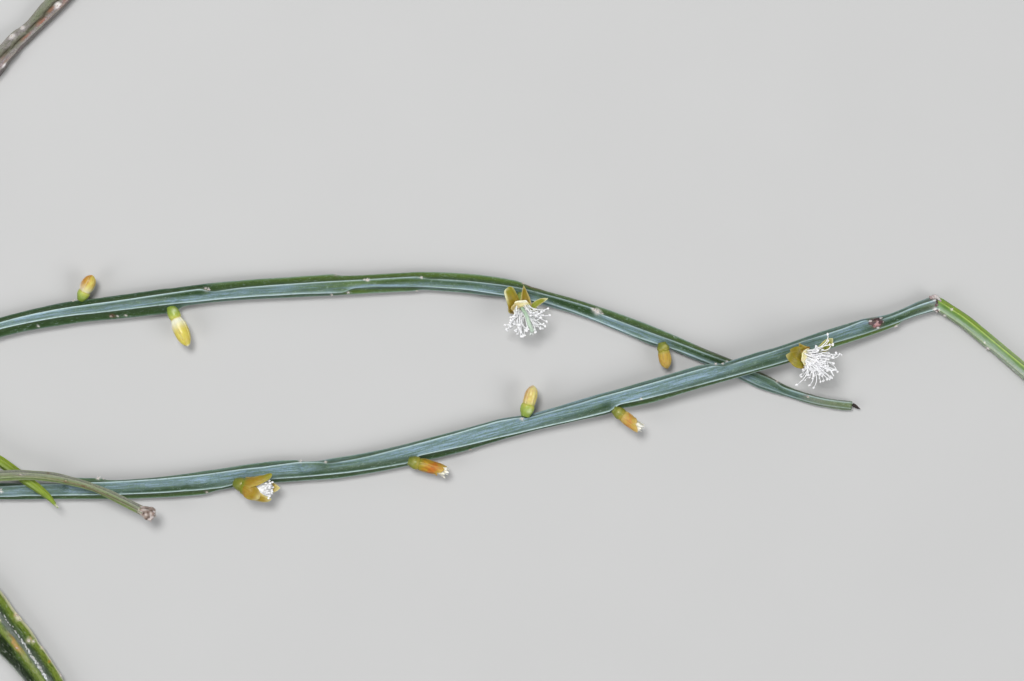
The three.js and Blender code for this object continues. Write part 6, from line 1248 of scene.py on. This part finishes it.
        # frayed pale tips of the inner petals and stamens show between the loosening petals
        p = Part()
        rng = np.random.default_rng(seed)
        n = 10
        t = np.linspace(0, 1, n)
        for k in range(10):
            g = k / 10 * 2 * math.pi + 0.4
            out = sd * math.cos(g) + tp * math.sin(g)
            r0 = rp * (0.7 if k % 2 else 0.42)
            spread = rng.uniform(-0.1, 0.35)
            early = 0.8 * abs(slant) * lp * (0.5 - 0.5 * math.copysign(1.0, slant) * math.cos(g)) ** 1.3
            length = ((rng.uniform(2.2, 3.1) if k % 2 else rng.uniform(2.4, 3.4)) + 0.45 * early) * (1 - 1.15 * abs(slant) * (0.5 + 0.5 * math.copysign(1.0, slant) * math.cos(g)))
            spine = P0 + axis * (lp - 1.5 - early) + out * r0 + np.outer(t * length, axis) + np.outer(t ** 2 * length * spread, out)
            leaf(p, spine, np.tile(out, (n, 1)), (0.6 + 0.2 * abs(slant)) * np.sqrt(np.clip(1 - t ** 4, 0.004, 1)) * (1.0 if k % 2 else 0.8), thick=0.14, cup=-0.3, wave=0.14, seed=seed + k,
                 paint=lambda s_, x_: {"warm": 0.35 * (1 - s_), "pale": 0.7 * s_})
        for k in range(10):
            g = rng.uniform(0, 6.28)
            out = sd * math.cos(g) + tp * math.sin(g)
            d = unit(axis + out * rng.uniform(0, 0.35))
            hair(p, P0 + axis * (lp - 1.2) + out * 0.3, d, rng.uniform(1.4, 2.2), 0.12, out * 0.1, sides=5, pale=0.9)
        build(name + "_stamen_tips_skin", p, MAT["frayed"], "stamen", name + "_stamen_tips")


for name, spec in BUDS.items():
    bud(name, **spec)


# ------------------------------------------------------------------ flowers
def filament(part, P0, P1, P2, r, head=(0.24, 0.17), seed=0, steps=9, sides=6, pale=0.7, green=0.0):
    """A curved filament from P0 by way of P1 to P2 with a two-lobed anther on its end."""
    t = np.linspace(0, 1, steps)[:, None]
    line = (1 - t) ** 2 * P0 + 2 * t * (1 - t) * P1 + t ** 2 * P2
    T = unit(np.gradient(line, axis=0))
    A, B, _ = axes_of(T[0])
    ang = np.arange(sides) * 2 * math.pi / sides
    V = []
    for i in range(steps):
        a = unit(A - T[i] * np.dot(A, T[i]))
        b = np.cross(T[i], a)
        q = i / (steps - 1)
        rr = r * (1.25 - 0.5 * q)
        V.append(line[i] + rr * (np.outer(np.cos(ang), a) + np.outer(np.sin(ang), b)))
    V = np.vstack(V + [line[:1], line[-1:]])
    al = np.r_[np.repeat(np.linspace(0, 1, steps), sides), 0, 1]
    part.add(V, tube_faces(steps, sides), flow=np.c_[al * 4, np.zeros(len(al)), np.full(len(al), seed)], pale=pale * (0.4 + 0.6 * al), green=green * (1 - al))
    if head:
        a = unit(A - T[-1] * np.dot(A, T[-1]))
        b = np.cross(T[-1], a)
        for sgn in (-1, 1):
            cushion(part, P2 + a * 0.62 * head[1] * sgn + T[-1] * head[1] * 0.4, b, T[-1], head[1], head[1] * 0.95, seed, pale=0.55, warm=0.25)


def blade(name, points, facing, width, slot_nodes, shape="point", cup=0.3, base=0.5, thick=0.34, wave=0.12, seed=0, paint=None, n=34, m=17, peak=0.45, part=None, skin="tepal"):
    C, s, T = even([at(*q) for q in points], n)
    t = np.linspace(0, 1, n)
    w = base + (1 - base) * np.sin(np.minimum(1, t / peak) * math.pi / 2)
    q = np.clip((t - peak) / (1 - peak), 0, 1)
    end = {"tri": 1 - 0.96 * q ** 1.1, "cut": (1 - 0.12 * q) * np.sqrt(np.clip(1 - q ** 7, 0, 1)), "taper": (1 - 0.55 * q) * np.sqrt(np.clip(1 - q ** 8, 0, 1)), "point": (1 - q ** 1.7) ** 0.85, "blunt": np.sqrt(np.clip(1 - q ** 3.2, 0, 1)), "round": np.sqrt(np.clip(1 - q ** 2.2, 0, 1))}[shape]
    hw = np.maximum(width / 2 * w * end, 0.03)
    p = part or Part()
    leaf(p, C, np.tile(np.asarray(facing, float), (n, 1)), hw, m=m, thick=thick, cup=cup, wave=wave, seed=seed, paint=paint)
    if part is None:
        build(name + "_blade", p, MAT[skin], "tepal", *slot_nodes)
    return p


def tepal_paint(core=0.6, margin=0.8, tip=0.7, warm=0.2, base_pale=0.0, green=0.0, side=0.0, reach=0.72, foot_warm=0.0, foot_green=0.0):
    """Golden-olive core, pale translucent margins and tip."""
    def f(s, x):
        edge = step(np.abs(x), 0.5, 1.0)
        one = step(side * x, 0.15, 0.8) if side else 0.0
        return {"deep": np.clip(core * (1 - edge) * (1 - 0.6 * s) * step(s, 0.0, 0.2) * (1 - one), 0, 1),
                "pale": np.clip(margin * edge * (0.5 + 0.5 * s) + tip * step(s, reach, 1.0) + base_pale * (1 - step(s, 0.0, 0.3)) + 0.8 * one * step(s, 0.1, 0.5), 0, 1),
                "warm": np.clip(warm * (1 - 0.6 * s) + 0.05 + foot_warm * (1 - step(s, 0.05, 0.35)), 0, 1), "green": np.clip(green * (1 - 0.6 * s) * (1 - 0.5 * edge) + foot_green * (1 - step(s, 0.06, 0.24)), 0, 1)}
    return f


def cup(name, S, axis, r, paint, seed=0):
    """The flower's shallow bowl seen from the front: a rolled rim round a fleshy floor, closed below."""
    p = Part()
    turned(p, S - axis * 1.1, axis, [[0, 0.5 * r], [0.35, 0.74 * r], [0.8, 0.95 * r], [1.1, r], [1.2, 0.92 * r], [1.08, 0.8 * r], [1.06, 0.55 * r], [1.2, 0.3 * r], [1.26, 0.03]],
           sides=64, steps=44, lump=0.2, seed=seed, ribs=6, rib=0.05, paint=paint)
    return p


def open_flower(name, foot, rim, disc, axis, ovary_r, blades, tips, style, cup_r, extra, seed, look, tuft=0):
    A = unit(axis)
    F, C = at(*foot), at(*rim)
    ax = unit(C - F)
    lo = float(np.linalg.norm(C - F))
    p = Part()
    turned(p, F - ax * 0.8, ax, [[0, 0.6 * ovary_r], [0.8, 0.8 * ovary_r], [0.8 + 0.4 * lo, ovary_r], [0.8 + 0.8 * lo, 0.98 * ovary_r], [0.8 + lo, 0.8 * ovary_r], [0.9 + lo, 0.3]],
           sides=36, steps=24, lump=0.05, seed=seed, paint=lambda a, th, V: {"green": np.clip(0.9 - 0.6 * a, 0, 1), "warm": 0.4 * a})
    S = at(*disc)
    q = cup(name, S, A, cup_r, look, seed)
    build(name + "_ovary_skin", p, MAT["ovary"], "ovary", name + "_ovary")
    build(name + "_cup", q, MAT["cup"], "tepal")
    for i, b in enumerate(blades):
        blade(f"{name}_tepal_{i + 1}", slot_nodes=(f"{name}_tepal_{i + 1}",), seed=seed + i, **b)
    # the stamens stand in rings round the style; the measured ones reach outwards, the others fill between
    rng = np.random.default_rng(seed)
    p = Part()
    down = np.array([0.0, -1.0, 0.0])
    ends = [(at(*t[:3]), True) for t in tips]
    k = len(ends)
    for e in range(extra):
        a, b = ends[e % k][0], ends[(e + 1) % k][0]
        f = rng.uniform(0.0, 1.0)
        mid = a * (1 - f) + b * f
        mid = S + (mid - S) * rng.uniform(0.55, 0.98) + A * rng.uniform(-0.3, 0.8) + rng.normal(0, 0.3, 3)
        mid[2] = max(mid[2], 1.0)
        ends.append((mid, False))
    for e in range(tuft):
        # the youngest, short and crowded in the middle
        a = ends[(e * 7) % k][0]
        ends.append((S + (a - S) * rng.uniform(0.26, 0.48) + A * rng.uniform(0.0, 0.9) + rng.normal(0, 0.3, 3), False))
    for i, (E, main) in enumerate(ends):
        out = E - S
        rad = out - A * np.dot(out, A)
        L = np.linalg.norm(out)
        g = rng.normal(0, 0.45)
        r = unit(rad)
        r = unit(r * math.cos(g) + np.cross(A, r) * math.sin(g))
        foot_ = S + r * cup_r * rng.uniform(0.2, 0.85) + A * 0.05
        lift = A * L * rng.uniform(0.18, 0.5) + np.cross(A, r) * L * rng.normal(0, 0.16)
        bend = (foot_ * 0.45 + E * 0.55) + lift
        bend[2] = max(bend[2], 0.8)
        filament(p, foot_, bend, E, 0.15 if main else 0.14, head=(0.24, 0.3 if main else 0.24), seed=i, pale=0.5 + 0.4 * (i % 3 == 0), green=0.4 * (i % 4 == 1))
    build(name + "_stamens_skin", p, MAT["filament"], "stamen", name + "_stamens")
    p = Part()
    line = even([S, *[at(*q) for q in style["via"]], at(*style["to"])], 16)[0]
    E = line[-1]
    n = len(line)
    T = unit(np.gradient(line, axis=0))
    X, Y, _ = axes_of(T[0])
    ang = np.arange(12) * 2 * math.pi / 12
    V = []
    for i in range(n):
        a = unit(X - T[i] * np.dot(X, T[i]))
        b = np.cross(T[i], a)
        r = style["r"] * (0.8 + 0.25 * i / (n - 1))
        V.append(line[i] + r * (np.outer(np.cos(ang), a) + np.outer(np.sin(ang), b)))
    V = np.vstack(V + [line[:1], line[-1:]])
    al = np.r_[np.repeat(np.linspace(0, 1, n), 12), 0, 1]
    p.add(V, tube_faces(n, 12), flow=np.c_[al * 6, np.zeros(len(al)), np.zeros(len(al))], green=style["green"], pale=0.35 * al)
    for j in range(4):
        g = j / 4 * 2 * math.pi + 0.5
        d = unit(T[-1] * 0.8 + (X * math.cos(g) + Y * math.sin(g)) * 0.9)
        hair(p, E - T[-1] * 0.15, d, style.get("lobe", 1.1), style["r"] * 0.8, T[-1] * 0.25, sides=8, steps=6, pale=0.75, green=style["green"] * 0.7)
    build(name + "_style_skin", p, MAT["filament"], "stamen", name + "_style")


def fan_paint(s, x):
    """Olive blade whose outer edge is thin and nearly white."""
    rim = step(-x, 0.5, 0.9)
    return {"deep": np.clip(0.75 * (1 - rim) * (0.6 + 0.4 * np.cos(7 * x + 2 * s)) * (1 - 0.4 * s), 0, 1), "pale": np.clip(1.1 * rim * step(s, 0.3, 0.75) + 0.6 * step(s, 0.84, 1.0) * step(-x, -0.6, 0.4) + 0.35 * step(x, 0.6, 1.0) * step(s, 0.5, 0.9), 0, 1),
            "warm": np.clip(0.5 * (1 - step(s, 0.1, 0.5)), 0, 1), "green": np.clip(0.5 * step(s, 0.5, 0.9) * (1 - rim), 0, 1)}


open_flower(
    "flower_1", foot=[520.6, 296.5, 5.4], rim=[521.2, 304.4, 7.8], disc=[521.6, 307.6, 9.0], axis=[0.06, -0.72, 0.69], ovary_r=1.8, cup_r=2.95, extra=40, tuft=22, seed=101,
    # cup colours: a painted highlight makes the back rim pale, over random pale mottling
    look=lambda a, th, V: {"pale": np.clip(0.9 * step((V - at(521.6, 302.6, 9.6)) @ np.array([0, 1.0, 0]), -0.1, 0.15) + 0.5 * grain(V * 1.5, 5), 0, 1),
                           "deep": np.clip(0.35 + 0.5 * step((V - at(517.6, 306.6, 9.4)) @ np.array([-1.0, 0, 0]), -1.0, 0.6) + 0.5 * grain(V * 1.2, 6), 0, 0.85) * step((at(521.6, 303.0, 9.6) - V) @ np.array([0, 1.0, 0]), -0.1, 0.2), "warm": 0.2,
                           "green": np.clip(1.2 * step((V - at(526.0, 309.0, 9.4)) @ np.array([0.8, -0.6, 0]), -0.9, 0.5), 0, 1)},
    blades=[
        dict(points=[[516.4, 310.6, 7.4], [514.4, 304.0, 8.9], [511.6, 296.4, 9.1], [507.6, 287.4, 8.1]], facing=[-0.25, 0.1, 1], width=3.9, shape="cut", cup=0.25, base=0.8, peak=0.3, wave=0.24,
             paint=fan_paint),
        dict(points=[[525.4, 306.0, 8.6], [525.5, 301.4, 9.9], [524.6, 294.0, 9.4], [523.7, 285.4, 8.0]], facing=[0, 0.15, 1], width=3.6, shape="tri", cup=0.35, base=0.95, peak=0.14,
             paint=tepal_paint(0.7, 0.5, 0.35, 0.35, foot_warm=0.4)),
        dict(points=[[528.6, 310.6, 8.4], [534.0, 305.4, 9.2], [540.6, 301.2, 8.9], [548, 298.6, 8.0]], facing=[0.4, 0.3, 1], width=1.75, shape="point", cup=0.4, base=0.9, peak=0.5,
             paint=tepal_paint(0.0, 0.55, 0.85, 0.0, base_pale=0.6, green=1.3)),
        dict(points=[[515.6, 313.2, 6.6], [513.2, 313.4, 5.4], [511.2, 310, 4.4], [510.0, 303.8, 3.8]], facing=[-0.6, -0.5, -0.7], width=2.4, paint=tepal_paint(0.7, 0.6, 0.5, 0.6)),
        dict(points=[[528.0, 313.8, 6.6], [531.2, 312.6, 5.4], [533.8, 308.2, 4.5], [535.4, 302.6, 3.9]], facing=[0.6, -0.5, -0.7], width=2.3, paint=tepal_paint(0.6, 0.6, 0.5, 0.5)),
        dict(points=[[522.2, 316.0, 5.8], [522.8, 315.8, 4.3], [522.6, 311.8, 3.0], [522.2, 305, 2.4]], facing=[0, -0.5, -1], width=2.3, paint=tepal_paint(0.6, 0.6, 0.5, 0.5)),
    ],
    tips=[[505.5, 325, 9], [507, 329.3, 7.6], [510.0, 325.8, 10.6], [511.4, 320.4, 11.2], [515.8, 330.4, 9.4], [517.8, 333.6, 8.2], [519.3, 324.6, 12], [521.3, 336, 9.4],
          [524.2, 335.3, 11], [526.7, 330.4, 12.2], [535.4, 331.8, 10.4], [540, 328, 9.4], [541.9, 328.4, 7.8],
          [544.6, 325.9, 10.6], [546.1, 321.4, 9.2], [540.4, 318, 12.4], [549.2, 315.2, 10.2], [547.5, 308.8, 11.2], [541.0, 312.4, 12.0], [536, 316, 13], [514, 317, 12]],
    style=dict(to=[532.2, 331.4, 10.4], via=[[526.0, 314.4, 11.4], [529.0, 323.4, 12.2]], r=0.62, green=1.25, lobe=1.3),
)
open_flower(
    "flower_2", foot=[802.2, 354.2, 9.2], rim=[805.6, 357.8, 11.5], disc=[807.0, 357.0, 13.2], axis=[0.74, -0.12, 0.66], ovary_r=1.8, cup_r=2.55, extra=48, tuft=90, seed=202,
    look=lambda a, th, V: {"pale": np.clip(0.15 + 0.35 * np.exp(-((a - 0.97) / 0.05) ** 2) + 0.15 * np.sin(3 * th), 0, 1), "warm": 0.15 + 0.15 * np.sin(th), "green": 0.15},
    blades=[
        dict(points=[[805.0, 361.0, 11.9], [800.2, 360.2, 13.2], [794.0, 357.6, 13.0], [785.8, 355.2, 11.9]], facing=[-0.1, 0.05, 1], width=4.9, shape="point", cup=0.1, base=0.92, peak=0.36,
             paint=tepal_paint(0.8, 0.05, 0.3, 0.15, foot_warm=0.7, green=0.45)),
        dict(points=[[804.4, 356.0, 12.4], [800.4, 353.8, 13.3], [796.0, 351.6, 13.0], [789.8, 349.6, 12.0]], facing=[-0.1, 0.2, 1], width=4.2, shape="point", cup=0.1, base=0.98, peak=0.3,
             paint=tepal_paint(1.0, 0.0, 0.1, 0.25, foot_warm=0.4, green=0.25)),
        dict(points=[[807.4, 352.4, 12.4], [804.6, 350.4, 13.0], [801.6, 347.2, 12.8], [798.9, 343.0, 12.2]], facing=[0.1, 0.3, 1], width=3.2, shape="tri", cup=0.3, base=1.0, peak=0.2,
             paint=tepal_paint(0.5, 0.15, 0.3, 0.5, foot_warm=0.3)),
        dict(points=[[815.0, 354.6, 12.3], [821.6, 349.6, 12.9], [827.2, 344.2, 12.8], [832.8, 338.2, 12.0]], facing=[0.3, 0.5, 1], width=2.9, shape="point", cup=0.3, base=0.6, peak=0.6,
             paint=tepal_paint(0.0, 0.55, 0.6, 0.0, green=1.3)),
        dict(points=[[808.2, 366.0, 10.8], [804.4, 367.2, 10.1], [799.8, 366.0, 9.4], [794.8, 363.0, 9.0]], facing=[-0.4, -0.6, -0.2], width=2.4, paint=tepal_paint(0.9, 0.2, 0.4, 0.3)),
        dict(points=[[813.2, 366.4, 9.6], [811.6, 367.4, 8.2], [808.8, 366, 7.0], [805.4, 362.8, 6.4]], facing=[0.1, -0.8, -0.5], width=2.3, paint=tepal_paint(0.9, 0.2, 0.4, 0.3)),
    ],
    tips=[[797, 384.6, 11.6], [801, 375.1, 10.4], [809.9, 384.9, 12.4], [813.9, 387.2, 11], [813.6, 375.8, 14.4], [819.6, 374.0, 15], [823.4, 380.6, 12],
          [827.1, 378.8, 14.6], [831.4, 377.4, 12.6], [837.2, 371.2, 13.6], [835.0, 369.6, 14.6], [833.1, 363, 15.4], [832.6, 357.6, 16.2],
          [840.6, 354.7, 14], [836, 353.3, 15.6], [829, 356, 16.2], [827.7, 334.6, 16], [832.6, 344.6, 15.4], [817.6, 350.4, 16.0], [827.4, 370, 15.6]],
    style=dict(to=[831.4, 370.8, 14.4], via=[[816, 361.4, 14.0], [824, 366.6, 14.4]], r=0.36, green=0.08, lobe=1.9),
)

# flower 3 is half open: its tepals still form a tube round the stamens
F, R = at(236.6, 482.8, 5.6), at(244.5, 485.8, 6.3)
ax = unit(R - F)
lo = float(np.linalg.norm(R - F))
p = Part()
turned(p, F - ax * 0.7, ax, [[0, 1.3], [0.7, 1.75], [0.7 + 0.45 * lo, 2.08], [0.7 + 0.75 * lo, 2.1], [0.7 + lo, 1.9], [0.8 + lo, 0.4]], sides=36, steps=24, lump=0.07, seed=301,
       paint=lambda a, th, V: {"green": np.clip(1.0 - 0.7 * a, 0, 1), "warm": 0.7 * a ** 2, "deep": 0.4 * (1 - a)})
build("flower_3_ovary_skin", p, MAT["ovary_dull"], "ovary", "flower_3_ovary")
for i, b in enumerate([
    dict(points=[[241.5, 481.6, 7.6], [249.0, 481.0, 9.2], [257.5, 479.6, 9.9], [265.0, 477.0, 9.8], [272.2, 473.9, 9.5]], facing=[0.0, 0.55, 0.85], width=3.9, shape="taper", cup=-0.4, base=0.85, peak=0.3,
         paint=lambda s, x: {**tepal_paint(0.55, 0.15, 0.0, 0.3)(s, x), "green": np.clip(1.1 * (1 - step(s, 0.06, 0.24)) + 0.7 * step(s, 0.55, 0.9), 0, 1)}),
    dict(points=[[240.6, 486.8, 8.2], [246.2, 489.6, 9.5], [251.9, 493.4, 9.8], [259.4, 498.8, 9.2]], facing=[0.05, -0.1, 1], width=4.7, shape="round", cup=-0.45, base=0.82, peak=0.45,
         paint=tepal_paint(0.5, 0.1, 0.45, 0.45, reach=0.7, foot_green=1.0)),
    dict(points=[[241.5, 488.8, 7.2], [248.6, 492.6, 8.4], [256.4, 496.8, 8.8], [264, 499.8, 8.4], [271.6, 499.6, 7.8]], facing=[0.1, -0.5, 0.85], width=3.8, shape="taper", cup=-0.35, base=0.8, peak=0.4,
         paint=tepal_paint(0.4, 0.55, 0.6, 0.3, foot_green=1.0)),
    dict(points=[[243, 491, 5.6], [252, 495, 4.9], [261, 498.2, 4.6], [269, 498.8, 4.8]], facing=[0.1, -0.5, -0.85], width=3.2, shape="round", cup=-0.4, base=0.7, peak=0.4,
         paint=tepal_paint(0.3, 0.5, 0.5, 0.3)),
    dict(points=[[245, 482.4, 5.4], [255, 483.4, 4.9], [263, 485.4, 5.2], [271, 487.2, 6.2], [280.2, 488.2, 7.0]], facing=[0.0, -0.1, 1], width=4.5, shape="point", cup=0.3, base=0.75, peak=0.6,
         paint=tepal_paint(0.1, 0.4, 0.5, 0.35)),
]):
    blade(f"flower_3_tepal_{i + 1}", slot_nodes=(f"flower_3_tepal_{i + 1}",), seed=310 + i, thick=0.3, wave=0.16, skin="tepal_gold", **b)
M = at(268.5, 488.6, 6.9)
A = unit(M - R)
p = Part()
turned(p, R - A * 0.4, A, [[0, 1.3], [0.8, 1.75], [2.2, 2.1], [4.6, 2.15], [6.4, 1.95], [7.5, 1.35], [7.9, 0.7], [7.8, 0.1]], sides=48, steps=40, lump=0.35, seed=330, paint=lambda a, th, V: {"pale": 0.4 + 0.4 * a, "green": 0.3 * (1 - a)})
rng = np.random.default_rng(33)
sd = unit(np.cross(UP, A))
tp = unit(np.cross(A, sd))
for i in range(54):
    g = i * 2.399
    rr = 0.3 + 1.5 * math.sqrt((i % 27) / 27)
    P0 = R + A * 2.2 + (sd * math.cos(g) + tp * math.sin(g)) * rr * 0.8
    E = R + A * (rng.uniform(7.2, 8.9) - 0.25 * rr ** 2) + (sd * math.cos(g) * 1.35 + tp * math.sin(g)) * rr * 1.15 + rng.normal(0, 0.12, 3) + np.array([0, 0, 0.8])
    filament(p, P0, (P0 + E) / 2 + A * 0.3, E, 0.13, head=(0.24, 0.27), seed=i, pale=0.9, green=0.3 * (i % 4 == 0))
build("flower_3_stamens_skin", p, MAT["filament"], "stamen", "flower_3_stamens")


# ------------------------------------------------------------------ floor, light, camera
def finish_scene():
    me = bpy.data.meshes.new("floor")
    me.from_pydata([(-3, -3, -0.0001), (3, -3, -0.0001), (3, 3, -0.0001), (-3, 3, -0.0001)], [], [(0, 1, 2, 3)])
    floor = bpy.data.objects.new("floor", me)
    bpy.context.scene.collection.objects.link(floor)
    n = Nodes("floor_paper")
    mm = n.object_mm()
    me.materials.append(n.finish(n.mix(n.noise(mm, 0.02, 3.0, 0.5), (0.435, 0.433, 0.428), (0.455, 0.453, 0.448)), 0.9,
                                 n.bump(n.noise(mm, 1.3, 3.0, 0.6), 0.15, 0.00005), specular=0.1))

    def area(name, place, aim, size, energy, color=(1, 1, 1)):
        light = bpy.data.lights.new(name, "AREA")
        light.shape, light.size, light.energy, light.color = "DISK", size, energy, color
        o = bpy.data.objects.new(name, light)
        o.location = place
        from mathutils import Vector
        o.rotation_euler = (Vector(aim) - Vector(place)).to_track_quat("-Z", "Y").to_euler()
        bpy.context.scene.collection.objects.link(o)

    area("key_light", (-0.25, 0.45, 1.5), (0.03, 0.0, 0.0), 0.55, 20)
    area("fill_right", (1.2, -0.5, 1.1), (0.03, 0.0, 0.0), 1.0, 12)
    area("fill_left", (-1.2, -0.6, 1.0), (0.03, 0.0, 0.0), 1.0, 8)
    world = bpy.data.worlds.new("studio")
    bpy.context.scene.world = world
    world.use_nodes = True
    world.node_tree.nodes["Background"].inputs[0].default_value = (0.93, 0.96, 1.0, 1)
    world.node_tree.nodes["Background"].inputs[1].default_value = 0.32
    cam = bpy.data.cameras.new("camera")
    cam.sensor_width = 36.0
    cam.lens = 36.0 * SIGHT / (1024 * GRID)
    cam.clip_start, cam.clip_end = 0.01, 20
    o = bpy.data.objects.new("camera", cam)
    o.location = (-ORIGIN_X / 1000, -ORIGIN_Y / 1000, SIGHT / 1000)
    o.rotation_euler = (0, 0, 0)
    bpy.context.scene.collection.objects.link(o)
    bpy.context.scene.camera = o
    bpy.context.scene.view_settings.view_transform = "Standard"
    bpy.context.scene.view_settings.look = "None"


finish_scene()
